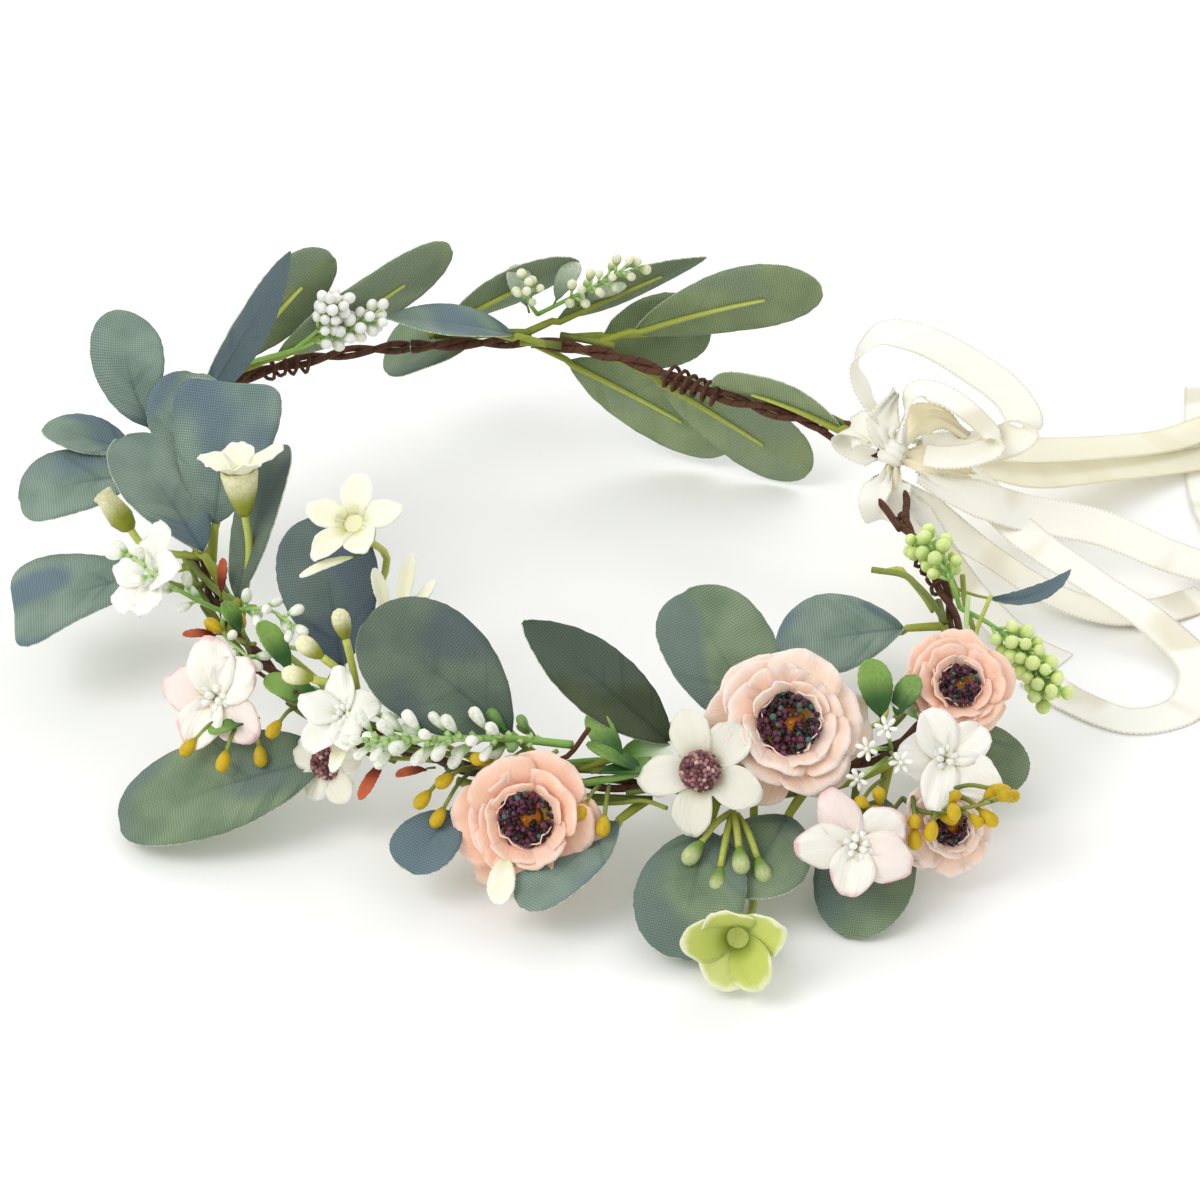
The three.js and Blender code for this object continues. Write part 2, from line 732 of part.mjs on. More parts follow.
const DAISY = { look: LOOK.cream, at: 293, around: 40, head: [30, -88, 29], faces: [245, 40], size: 13 };
const SMALL_DAISY = {
  look: LOOK.cream, at: 230, around: 30, head: [-52, -72, 19], faces: [235, 25], size: 10,
};

const BLOSSOMS = {
  blossom_left: {
    look: LOOK.blush, at: 213, around: 20, head: [-78, -57, 26], faces: [255, 40], size: 13,
  },
  blossom_front: {
    look: LOOK.blush, at: 312, around: 0, head: [63, -100, 18], faces: [275, 40], size: 12,
  },
  blossom_right: {
    look: LOOK.cream, at: 322, around: 40, head: [83, -80, 26], faces: [280, 45], size: 12,
  },
  blossom_upper_left: {
    look: LOOK.cream, at: 222, around: 70, head: [-48, -73, 33], faces: [240, 45], size: 10,
  },
  blossom_far_left: {
    look: LOOK.cream, at: 193, around: 60, head: [-93, -32, 41], faces: [215, 40], size: 12,
  },
};

const BELLS = {
  bell_tall: {
    look: LOOK.creamGreen, at: 226, around: 100, head: [-47, -39, 61], faces: [240, 55], size: 11,
    open: 10,
  },
  bell_side: {
    look: LOOK.creamGreen, at: 204, around: 100, head: [-74, -20, 62], faces: [110, 75], size: 10,
    open: 45,
  },
  bell_lime: {
    look: LOOK.lime, at: 298, around: -10, head: [37, -121, 10], faces: [258, 20], size: 11, open: 20,
  },
};
const BUD = {
  look: LOOK.creamGreen, at: 187, around: 90, head: [-106, 0, 38], faces: [140, 35], size: 6,
};

const SPRIGS = {
  heather_sprig: {
    look: LOOK.budWhite,
    twigs: [{
      path: [[2, -76, 27], [-12, -79, 31], [-28, -83, 34], [-42, -86, 36]], beads: 17, size: 1.4,
      spread: 3.4,
    }],
  },
  bud_sprig: {
    look: LOOK.budWhite,
    twigs: [
      {
        path: [[-78, -34, 33], [-84, -36, 38], [-92, -36, 44], [-99, -32, 48]], beads: 8, size: 1.3,
        spread: 3,
      },
      {
        path: [[-78, -34, 33], [-73, -40, 38], [-66, -46, 42], [-60, -52, 42]], beads: 8, size: 1.3,
        spread: 3,
      },
      { path: [[-78, -34, 33], [-77, -44, 34], [-70, -54, 34]], beads: 4, size: 1.5, spread: 3 },
    ],
  },
  berry_sprig: {
    look: LOOK.mustard,
    twigs: [
      {
        path: [[74, -86, 20], [78, -92, 21], [88, -94, 24], [94, -94, 26]], beads: 6, size: 1.5,
        spread: 3.2,
      },
      { path: [[74, -86, 20], [70, -92, 20], [66, -94, 24]], beads: 4, size: 1.5, spread: 3 },
    ],
  },
  lime_clusters: {
    look: LOOK.lime,
    twigs: [
      {
        path: [[91, -28, 30], [89, -27, 36], [86, -20, 39], [83, -15, 39]], beads: 12, size: 1.7,
        spread: 3.6, bare: 0.3,
      },
      {
        path: [[91, -28, 30], [98, -32, 28], [105, -38, 25], [110, -46, 20]], beads: 14, size: 1.7,
        spread: 4.2, bare: 0.4,
      },
    ],
  },
};

const ARM_SPRIGS = {
  seed_cluster: {
    look: LOOK.budWhite,
    twigs: [
      {
        path: [[-8, 84, 43], [-2, 83, 47], [7, 80, 54], [16, 78, 61]], beads: 12, size: 1.5,
        spread: 4, bare: 0.3,
      },
      { path: [[-8, 84, 43], [-10, 80, 49], [-10, 76, 56]], beads: 4, size: 1.9, spread: 3, bare: 0.5 },
    ],
  },
};

const WHITE_CLUSTER = {
  look: LOOK.budWhite,
  twigs: [
    {
      path: [[-79, 57, 45], [-68, 61, 47], [-58, 65, 50], [-48, 68, 53]], beads: 9, size: 1.6,
      spread: 3.6, bare: 0.5,
    },
    { path: [[-68, 61, 47], [-61, 65, 53], [-58, 66, 59]], beads: 7, size: 1.6, spread: 3, bare: 0.5 },
  ],
};

const KNOT = { centre: [80, 33, 33], size: [6, 5, 6] };

const RIBBONS = {
  ribbon_lower_wrap: {
    look: LOOK.satin,
    path: [[78, 28, 31], [76, 23, 31], [74, 18, 29], [76, 17, 25], [79, 21, 26], [81, 27, 29]],
    across: [[1, 0, 0], [1, 0, 0]],
    wide: 7,
  },
  ribbon_back_loop: {
    look: LOOK.satin,
    path: [
      [78, 36, 38], [73, 40, 45], [71, 46, 52], [77, 50, 57], [86, 50, 56], [99, 47, 50],
      [109, 42, 44], [112, 36, 39], [105, 33, 36], [95, 33, 35], [87, 33, 35],
    ],
    across: [[0, 1, 0.2], [0.3, 1, 0.1], [0.2, 0.9, 0.5], [0.3, 0.8, 0.5], [0, 1, 0.2]],
    fold: 0.4,
  },
  ribbon_inner_loop: {
    look: LOOK.satin,
    path: [
      [81, 29, 39], [82, 31, 45], [85, 36, 49], [91, 37, 48], [100, 33, 43], [104, 29, 39],
      [99, 27, 37], [92, 27, 36], [87, 28, 36],
    ],
    across: [[0.3, 1, 0], [0, 1, FLAT], [0, 1, 0.2]],
    wide: 8,
  },
  ribbon_front_strip: {
    look: LOOK.satin,
    path: [
      [86, 27, 31], [93, 24, 29], [103, 24, 25], [112, 27, 20], [132, 29, 14], [150, 25, 8],
      [162, 28, 3], [166, 40, FLAT], [165, 62, FLAT], [168, 92, FLAT], [172, 118, FLAT],
    ],
    across: [[0.1, 0.8, 0.6], [0.1, 0.8, 0.6], [0, 0.9, 0.45], [-0.6, 0.8, 0.2], [-1, 0, 0], [-1, 0, 0]],
    steps: 18,
  },
  ribbon_side_loop: {
    look: LOOK.satin,
    path: [
      [86, 33, 29], [98, 37, 25], [112, 22, 17], [128, 12, 10], [143, 0, 5], [151, -14, 2],
      [146, -27, FLAT], [133, -32, FLAT], [120, -24, FLAT], [112, -14, FLAT],
    ],
    across: [[0, 1, 0], [0.6, 0.8, 0.2], [0.6, 0.8, 0], [1, 0.3, 0], [-0.2, -1, 0], [-0.6, -0.6, 0]],
  },
  ribbon_wide_tail: {
    look: LOOK.satin,
    path: [[81, 27, 28], [87, 20, 20], [95, 12, 11], [104, 4, 4], [112, -3, FLAT], [119, -9, FLAT]],
    across: [[0.7, 0.6, 0.3], [0.7, 0.6, 0], [0.6, 0.8, 0]],
    second: {
      path: [
        [81, 27, 28], [90, 24, 21], [103, 21, 12], [118, 14, 5], [132, 10, 2], [145, 12, 1],
        [158, 19, FLAT],
      ],
      across: [[0.7, 0.6, 0.3], [0.3, 0.9, 0], [0.3, 0.9, 0], [-0.3, 0.9, 0]],
    },
  },
  ribbon_sheer_tail: {
    look: LOOK.sheer,
    path: [
      [86, 37, 33], [98, 45, 28], [115, 54, 21], [138, 71, 11], [158, 86, 4], [172, 96, 2.5],
      [186, 102, FLAT],
    ],
    across: [[0, 1, 0.3], [0, 1, 0], [-0.3, 1, 0], [-0.5, 0.8, 0]],
    second: {
      path: [[86, 37, 33], [97, 42, 27], [113, 46, 19], [137, 63, 9], [164, 80, 1.5], [180, 88, FLAT]],
      across: [[0, 1, 0.3], [0, 1, 0], [-0.4, 0.9, 0], [-0.5, 0.8, 0]],
    },
  },
};

const ARM_RIBBON = {
  look: LOOK.satin,
  path: [
    [76, 37, 35], [73, 40, 35.5], [69, 43, 34.5], [67.5, 44, 32], [69, 43, 29.5], [73, 40, 28.5],
    [76, 37, 29],
  ],
  across: [[0.6, 0.8, 0], [0.6, 0.8, 0]],
  wide: 8,
};

// ---- Putting the crown together ----

const LEAST_KEPT = 0.9; // a piece that loses more than the rest to its neighbours is reported
const BINDINGS = {
  binding_wire_left: { from: 133, to: 140, turns: 4 },
  binding_wire_right: { from: 352, to: 360, turns: 4 },
  binding_wire_back: { from: 57, to: 70, turns: 6 },
};

const group = new THREE.Group();
group.name = 'flower_crown';
const earlier = [];

// Adds a piece, cut clear of every piece added before it and of the table.
function add(name, look, build) {
  let body = build(0);
  const grown = build(GAP);
  for (const other of earlier) {
    if (boxesMeet(body, other)) body = body.subtract(other);
  }
  body = body.trimByPlane([0, 0, 1], 0).simplify(SMOOTHING);
  const whole = body.volume();
  body = body.decompose().sort((a, b) => b.volume() - a.volume())[0];
  const kept = body.volume() / whole;
  if (kept < LEAST_KEPT) console.warn(`${name}: kept ${Math.round(100 * kept)}%`);
  earlier.push(grown);
  const mesh = new THREE.Mesh(toGeometry(body), new THREE.MeshStandardMaterial(look));
  mesh.name = name;
  group.add(mesh);
}

function boxesMeet(a, b) {
  const first = a.boundingBox();
  const second = b.boundingBox();
  return [0, 1, 2].every((k) => first.min[k] <= second.max[k] && second.min[k] <= first.max[k]);
}

function toGeometry(body) {
  const mesh = body.getMesh();
  const position = new Float32Array((mesh.vertProperties.length / mesh.numProp) * 3);
  for (let i = 0; i < position.length / 3; i += 1) {
    for (let k = 0; k < 3; k += 1) position[3 * i + k] = mesh.vertProperties[mesh.numProp * i + k];
    position[3 * i] -= CENTRE[0];
    position[3 * i + 1] -= CENTRE[1];
  }
  const geometry = new THREE.BufferGeometry();
  geometry.setAttribute('position', new THREE.BufferAttribute(position, 3));
  geometry.setIndex(new THREE.BufferAttribute(new Uint32Array(mesh.triVerts), 1));
  geometry.computeVertexNormals();
  return geometry;
}

const HINGE_HALF = 1.2; // degrees of bare band left clear each side of the bend

add('band_wire', LOOK.wire, (grow) => joined([
  bandStretch(HINGE_AT + HINGE_HALF, BAND_ENDS.lower + 360, grow),
  eyelet(EYELETS.lower, grow),
]));
add('back_arm_wire', LOOK.wire, (grow) => joined([
  bandStretch(BAND_ENDS.upper, HINGE_AT - HINGE_HALF, grow),
  eyelet(EYELETS.upper, grow),
]));
for (const [name, coil] of Object.entries(BINDINGS)) {
  add(name, LOOK.wire, (grow) => bindingCoil(coil, grow));
}

add('ribbon_knot', LOOK.satin, (grow) => knot(KNOT, grow));
add('ribbon_tie', ARM_RIBBON.look, (grow) => strip(ARM_RIBBON, grow));
for (const [name, ribbon] of Object.entries(RIBBONS)) {
  const strips = ribbon.second ? [ribbon, ribbon.second] : [ribbon];
  add(name, ribbon.look, (grow) => joined(strips.map((one) => strip(one, grow))));
}

for (const [name, flower] of Object.entries(PEACH)) {
  add(`${name}_centre`, LOOK.stamen, (grow) => peachCentre(flower, grow));
  add(`${name}_petals`, flower.look, (grow) => peachPetals(flower, grow));
}
add('daisy_centre', LOOK.mauve, (grow) => daisyCentre(DAISY, grow));
add('daisy_petals', DAISY.look, (grow) => daisyPetals(DAISY, grow));
for (const [name, flower] of Object.entries(BLOSSOMS)) {
  add(name, flower.look, (grow) => blossom(flower, grow));
}
add('daisy_small', SMALL_DAISY.look, (grow) => smallDaisy(SMALL_DAISY, grow));
for (const [name, flower] of Object.entries(BELLS)) {
  add(name, flower.look, (grow) => bell(flower, grow));
}
add('bell_bud', BUD.look, (grow) => bud(BUD, grow));

for (const [name, plan] of Object.entries({ ...SPRIGS, ...ARM_SPRIGS, white_cluster: WHITE_CLUSTER })) {
  add(name, plan.look, (grow) => sprigGroup(plan, grow));
}
for (const [name, plan] of Object.entries({ ...SPRAYS, ...ARM_SPRAYS })) {
  add(name, plan.look, (grow) => spray(plan, grow));
}

export default group;
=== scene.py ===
"""A flower crown: fabric leaves, cloth flowers, berries and a satin bow on a bendable wire band.

Sizes and places are in millimetres and degrees, measured from the middle of the head opening,
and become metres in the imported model's frame when a mesh is made.
"""
import math
import random

import bpy
import numpy as np
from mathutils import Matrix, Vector


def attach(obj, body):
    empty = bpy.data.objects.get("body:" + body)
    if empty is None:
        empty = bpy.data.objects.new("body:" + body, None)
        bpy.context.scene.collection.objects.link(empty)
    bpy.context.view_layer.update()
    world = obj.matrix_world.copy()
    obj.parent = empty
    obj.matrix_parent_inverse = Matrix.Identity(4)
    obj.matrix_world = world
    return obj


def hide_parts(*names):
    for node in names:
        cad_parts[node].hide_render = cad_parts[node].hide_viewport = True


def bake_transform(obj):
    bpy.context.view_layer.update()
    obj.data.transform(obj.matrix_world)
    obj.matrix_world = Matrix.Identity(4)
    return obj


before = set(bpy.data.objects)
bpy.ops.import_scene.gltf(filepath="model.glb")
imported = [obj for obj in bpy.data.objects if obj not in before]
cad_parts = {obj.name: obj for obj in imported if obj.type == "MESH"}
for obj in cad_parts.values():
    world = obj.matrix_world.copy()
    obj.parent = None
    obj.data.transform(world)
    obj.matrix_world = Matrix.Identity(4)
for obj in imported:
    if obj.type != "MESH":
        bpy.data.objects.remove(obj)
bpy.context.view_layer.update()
chance = random.Random(11)

# ---- Driving dimensions ----

MM = 0.001
CENTRE = np.array([28.06, -3.32, 0.0])  # from the middle of the opening to the outline's middle
UP = np.array([0.0, 0.0, 1.0])
STRAND = 0.88  # half thickness of one paper-wrapped wire
PITCH = 24  # one turn of the twisted pair
STEM = 1.0
RIB = 1.3  # half the width of a leaf's moulded rib at its root
REACH = 3.2
EYELET = {"wire": 0.9, "long": 15, "wide": 4.2}
BINDING_REACH = 2.7
RIBBON_WIDE = 10
FLAT = 0.3
PICOT = 0.95  # from one stitch of a ribbon edge to the next
CREASE = 0.35  # the fold along a leaf's middle, deepest at its root
WEAVE = 0.54  # from one thread of the leaf cloth to the next
GOLDEN_TURN = 137.5  # degrees from one bud or bead to the next, which spreads them evenly
LEAN = {"middle": 28, "back": 0.12, "right": -0.03}
BAND_PLAN = [
    (16, 80), (32, 82), (48, 73), (62, 70), (78, 74), (95, 79), (112, 83), (128, 92), (144, 102),
    (158, 100), (175, 91), (200, 83), (225, 79), (255, 78), (280, 80), (300, 89), (318, 98),
    (334, 99), (350, 91), (365, 83),
]
LOWER_END, UPPER_END = 10, 36
HINGE_AT = 118
LEAF_THICK = 0.32
PETAL_THICK = 0.24
RIBBON_THICK = 0.22
RIBBON_COLUMNS = 11


# ---- Vectors, curves and frames ----


def unit(v):
    return v / np.linalg.norm(v)


def direction(heading, rise):
    h, r = math.radians(heading), math.radians(rise)
    return np.array([math.cos(r) * math.cos(h), math.cos(r) * math.sin(h), math.sin(r)])


def turned(v, axis, degrees):
    c, s = math.cos(math.radians(degrees)), math.sin(math.radians(degrees))
    return v * c + np.cross(axis, v) * s + axis * (axis @ v) * (1 - c)


def framed(forward, roll=0.0):
    """(forward, side, top): side is level and top the upward normal, both rolled about forward."""
    side = np.cross(forward, UP)
    side = unit(side) if np.linalg.norm(side) > 1e-3 else np.array([1.0, 0.0, 0.0])
    side = turned(side, forward, roll)
    return forward, side, np.cross(side, forward)


def smooth(points, count, closed=False):
    """count + 1 points evenly spaced along a smooth curve through the given ones."""
    p = np.array(points, float)
    before, after = (p[-1], p[:2]) if closed else (2 * p[0] - p[1], 2 * p[-1] - p[-2])
    p = np.vstack([before, p, after])
    gap = np.sqrt(np.linalg.norm(np.diff(p, axis=0), axis=1))
    t = np.linspace(0, 1, 24, endpoint=False)[:, None]
    dense = []
    for i in range(1, len(p) - 2):
        a, b, c = gap[i - 1], gap[i], gap[i + 1]
        start = ((p[i] - p[i - 1]) / a - (p[i + 1] - p[i - 1]) / (a + b) + (p[i + 1] - p[i]) / b) * b
        end = ((p[i + 1] - p[i]) / b - (p[i + 2] - p[i]) / (b + c) + (p[i + 2] - p[i + 1]) / c) * b
        rise = p[i + 1] - p[i]
        square, cube = 3 * rise - 2 * start - end, start + end - 2 * rise
        dense.append(p[i] + start * t + square * t**2 + cube * t**3)
    dense = np.vstack(dense + [p[-2][None]])
    far = run(dense)
    where = np.linspace(0, far[-1], count + 1)
    return np.stack([np.interp(where, far, dense[:, k]) for k in range(3)], 1)


def run(points):
    """How far along its path each point lies."""
    return np.concatenate([[0], np.cumsum(np.linalg.norm(np.diff(points, axis=0), axis=1))])


def forwards(points):
    ahead = np.vstack([points[1:], points[-1:]]) - np.vstack([points[:1], points[:-1]])
    return ahead / np.linalg.norm(ahead, axis=1)[:, None]


def carried_sides(way):
    """A side for each point of a path, carried along it with no sudden turn."""
    side = framed(way[0])[1]
    sides = []
    for forward in way:
        side = unit(side - forward * (side @ forward))
        sides.append(side)
    return np.array(sides)


PLAN = smooth(
    [(r * math.cos(math.radians(a)), r * math.sin(math.radians(a)), 0) for a, r in BAND_PLAN],
    720,
    closed=True,
)[:-1]
PLAN_ANGLES = np.degrees(np.arctan2(PLAN[:, 1], PLAN[:, 0])) % 360
PLAN_ORDER = np.argsort(PLAN_ANGLES)


def band_point(angle):
    x, y = (
        np.interp(angle % 360, PLAN_ANGLES[PLAN_ORDER], PLAN[PLAN_ORDER, k], period=360) for k in (0, 1)
    )
    return np.array([x, y, LEAN["middle"] + LEAN["back"] * y + LEAN["right"] * x])


def beside(angle, around, reach=REACH):
    """A point beside the band: around 0 is outward, 90 above, 180 inward, 270 below."""
    tangent = unit(band_point(angle + 3) - band_point(angle - 3))
    outward = unit(np.cross(tangent, UP))
    upward = np.cross(outward, tangent)
    a = math.radians(around)
    return band_point(angle) + outward * reach * math.cos(a) + upward * reach * math.sin(a)


# ---- Mesh building ----


class Shape:
    """Closed patches gathered into one mesh. Each vertex keeps two vectors for its material.

    cloth: millimetres across and along the cloth, and a chance number of the patch.
    place: share along the patch from 0 to 1, share across it from -1 to 1, and 1 on one side.
    """

    def __init__(self):
        self.points, self.cloth, self.place = [], [], []
        self.faces, self.looks, self.flat = [], [], []
        self.count = 0

    def vertices(self, points, cloth, place):
        first = self.count
        self.points.append(points.reshape(-1, 3))
        self.cloth.append(cloth.reshape(-1, 3))
        self.place.append(place.reshape(-1, 3))
        self.count += self.points[-1].shape[0]
        return first

    def face(self, corners, look, flat=False):
        self.faces.append(corners)
        self.looks.append(look)
        self.flat.append(flat)

    def sheet(self, grid, thick, looks, along, across, share_along=None):
        """A closed thin solid round a grid of rows x columns. looks: top, underside and edge."""
        rows, columns = grid.shape[:2]
        du = np.gradient(grid, axis=1)
        dv = np.gradient(grid, axis=0)
        normal = np.cross(du, dv)
        normal /= np.maximum(np.linalg.norm(normal, axis=2), 1e-9)[..., None]
        number = chance.random()
        cloth = np.stack([across, along, np.full((rows, columns), number)], 2)
        share = np.linspace(0, 1, rows)[:, None] * np.ones(columns) if share_along is None else share_along
        sideways = np.linspace(-1, 1, columns)[None] * np.ones((rows, 1))
        place = np.stack([share, sideways, np.ones_like(share)], 2)
        top = self.vertices(grid + normal * thick / 2, cloth, place)
        low = self.vertices(grid - normal * thick / 2, cloth, place * (1, 1, 0))
        for i in range(rows - 1):
            for j in range(columns - 1):
                a = i * columns + j
                corners = (a, a + 1, a + columns + 1, a + columns)
                self.face(tuple(top + c for c in corners), looks[0])
                self.face(tuple(low + c for c in reversed(corners)), looks[1])
        rim = list(range(columns)) + [i * columns + columns - 1 for i in range(1, rows)]
        rim += [(rows - 1) * columns + j for j in range(columns - 2, -1, -1)]
        rim += [i * columns for i in range(rows - 2, 0, -1)]
        for a, b in zip(rim, rim[1:] + rim[:1]):
            self.face((top + b, top + a, low + a, low + b), looks[2], True)

    def tube(self, rings, look):
        """A closed skin over matching round rings, with both ends closed."""
        rings = np.array(rings)
        rows, columns = rings.shape[:2]
        middle = rings.mean(axis=1)
        along = run(middle)
        reach = np.linalg.norm(rings - middle[:, None], axis=2).mean(axis=1)
        turn = np.linspace(0, 2 * math.pi, columns, endpoint=False)
        number = chance.random()
        every = np.ones((rows, columns))
        cloth = np.stack([turn[None] * reach.max() * every, along[:, None] * every, number * every], 2)
        share = (along / max(along[-1], 1e-6))[:, None]
        place = np.stack([share * every, np.cos(turn)[None] * every, every], 2)
        first = self.vertices(rings, cloth, place)
        for i in range(rows - 1):
            for j in range(columns):
                a, b = first + i * columns + j, first + i * columns + (j + 1) % columns
                self.face((a, b, b + columns, a + columns), look)
        last = first + (rows - 1) * columns
        self.face(tuple(range(first + columns - 1, first - 1, -1)), look)
        self.face(tuple(range(last, last + columns)), look)

    def rod(self, points, wide, look, thin=None, sides=8, taper=1.0):
        """A rod along a path. wide is its half width and thin, where it is flattened, its half height."""
        points = np.array(points, float)
        way = forwards(points)
        side = carried_sides(way)
        top = np.cross(side, way)
        half = np.linspace(1, taper, len(points)) * wide
        over = half if thin is None else np.linspace(1, taper, len(points)) * thin
        turn = np.linspace(0, 2 * math.pi, sides, endpoint=False)
        rings = (
            points[:, None]
            + side[:, None] * (half[:, None] * np.cos(turn))[..., None]
            + top[:, None] * (over[:, None] * -np.sin(turn))[..., None]
        )
        self.tube(rings, look)

    def lathe(self, point, way, profile, look, sides=12, flutes=0, depth=0.0):
        """A turned shape along way. profile is a list of (radius, height)."""
        forward, side, top = framed(unit(way))
        turn = np.linspace(0, 2 * math.pi, sides, endpoint=False)
        swell = 1 + depth * np.cos(flutes * turn)
        rings = []
        for radius, height in profile:
            rings.append(
                point
                + forward * height
                + side * (radius * swell * np.cos(turn))[:, None]
                + top * (radius * swell * np.sin(turn))[:, None]
            )
        self.tube(rings, look)

    def bead(self, point, way, wide, long, look, sides=8, rows=6, tip=0.0):
        """An egg along way that starts at point. tip above 0 moves its widest place outward."""
        share = np.linspace(0.02, 0.98, rows)
        radii = [wide * math.sin(math.pi * s ** (1 + tip)) for s in share]
        profile = [(r, long * (1 - math.cos(math.pi * s)) / 2) for r, s in zip(radii, share)]
        self.lathe(point, way, profile, look, sides)

    def object(self, name, materials):
        """The mesh object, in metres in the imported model's frame."""
        used = sorted(set(self.looks))
        mesh = bpy.data.meshes.new(name)
        points = (np.vstack(self.points) - CENTRE) * MM
        points[:, 2] = np.maximum(points[:, 2], 0)  # nothing sinks into the table
        mesh.from_pydata(points.tolist(), [], self.faces)
        mesh.polygons.foreach_set("material_index", [used.index(k) for k in self.looks])
        mesh.polygons.foreach_set("use_smooth", [not f for f in self.flat])
        for title, values in (("cloth", self.cloth), ("place", self.place)):
            data = mesh.attributes.new(title, "FLOAT_VECTOR", "POINT").data
            data.foreach_set("vector", np.vstack(values).astype(np.float32).ravel())
        for key in used:
            mesh.materials.append(materials[key])
        mesh.validate()
        made = bpy.data.objects.new(name, mesh)
        bpy.context.scene.collection.objects.link(made)
        return made


# ---- Materials ----


def linear(colour):
    """A colour of 0 to 255 in sRGB as the linear numbers a shader takes; a socket stays as it is."""
    if not isinstance(colour, tuple):
        return colour
    return tuple(((c / 255 + 0.055) / 1.055) ** 2.4 if c > 10 else c / 3295 for c in colour) + (1.0,)


class Finish:
    """A material and short ways to add and join its nodes."""

    def __init__(self, name, rough, sheen=0.0, through=0.0, alpha=1.0, coat=0.0):
        self.material = bpy.data.materials.new(name)
        self.material.use_nodes = True
        self.tree = self.material.node_tree
        self.shader = self.tree.nodes["Principled BSDF"]
        settings = {
            "Roughness": rough, "Sheen Weight": sheen, "Alpha": alpha, "Coat Weight": coat,
            "Subsurface Weight": through, "Subsurface Radius": (1.0, 0.75, 0.55),
            "Subsurface Scale": 0.0012, "Specular IOR Level": 0.3,
        }
        for key, value in settings.items():
            self.put(self.shader, key, value)

    def add(self, kind, **values):
        node = self.tree.nodes.new(kind)
        for key, value in values.items():
            setattr(node, key, value)
        return node

    def put(self, node, key, value):
        socket = node.inputs[key]
        if isinstance(value, bpy.types.NodeSocket):
            self.tree.links.new(value, socket)
        else:
            socket.default_value = value

    def attribute(self, name):
        return self.add("ShaderNodeAttribute", attribute_name=name).outputs["Vector"]

    def split(self, vector):
        node = self.add("ShaderNodeSeparateXYZ")
        self.put(node, 0, vector)
        return node.outputs

    def math(self, operation, a, b=0.0, c=0.0):
        node = self.add("ShaderNodeMath", operation=operation)
        self.put(node, 0, a)
        self.put(node, 1, b)
        self.put(node, 2, c)
        return node.outputs[0]

    def ease(self, value, low, high, start=0.0, end=1.0):
        node = self.add("ShaderNodeMapRange", interpolation_type="SMOOTHSTEP")
        keys = ("Value", "From Min", "From Max", "To Min", "To Max")
        for key, x in zip(keys, (value, low, high, start, end)):
            self.put(node, key, x)
        return node.outputs["Result"]

    def stretched(self, vector, *scales):
        """The vector with each of its three ways scaled by its own number."""
        node = self.add("ShaderNodeMapping")
        self.put(node, "Vector", vector)
        node.inputs["Scale"].default_value = scales
        return node.outputs[0]

    def noise(self, vector, scale, detail=2.0):
        node = self.add("ShaderNodeTexNoise")
        self.put(node, "Vector", vector)
        self.put(node, "Scale", scale)
        self.put(node, "Detail", detail)
        return node.outputs["Fac"]

    def waves(self, vector, pitch, way, wobble=1.0):
        """Threads of that pitch across the X, Y or DIAGONAL way of the vector."""
        node = self.add("ShaderNodeTexWave", bands_direction=way)
        self.put(node, "Vector", vector)
        self.put(node, "Scale", 2 * math.pi / (20 * pitch))
        self.put(node, "Distortion", wobble)
        self.put(node, "Detail", 1.0)
        self.put(node, "Detail Scale", 1.5)
        return node.outputs["Fac"]

    def mix(self, share, a, b, kind="MIX"):
        node = self.add("ShaderNodeMix", data_type="RGBA", blend_type=kind)
        self.put(node, "Factor", share)
        self.put(node, 6, linear(a))
        self.put(node, 7, linear(b))
        return node.outputs[2]

    def shaded(self, base, level):
        """The colour darkened or lightened by a grey level."""
        grey = self.add("ShaderNodeCombineColor")
        for key in range(3):
            self.put(grey, key, level)
        return self.mix(1.0, base, grey.outputs[0], "MULTIPLY")

    def colour(self, value):
        self.put(self.shader, "Base Color", linear(value))

    def bump(self, height, strength, distance):
        node = self.add("ShaderNodeBump")
        self.put(node, "Height", height)
        self.put(node, "Strength", strength)
        self.put(node, "Distance", distance)
        self.put(self.shader, "Normal", node.outputs["Normal"])


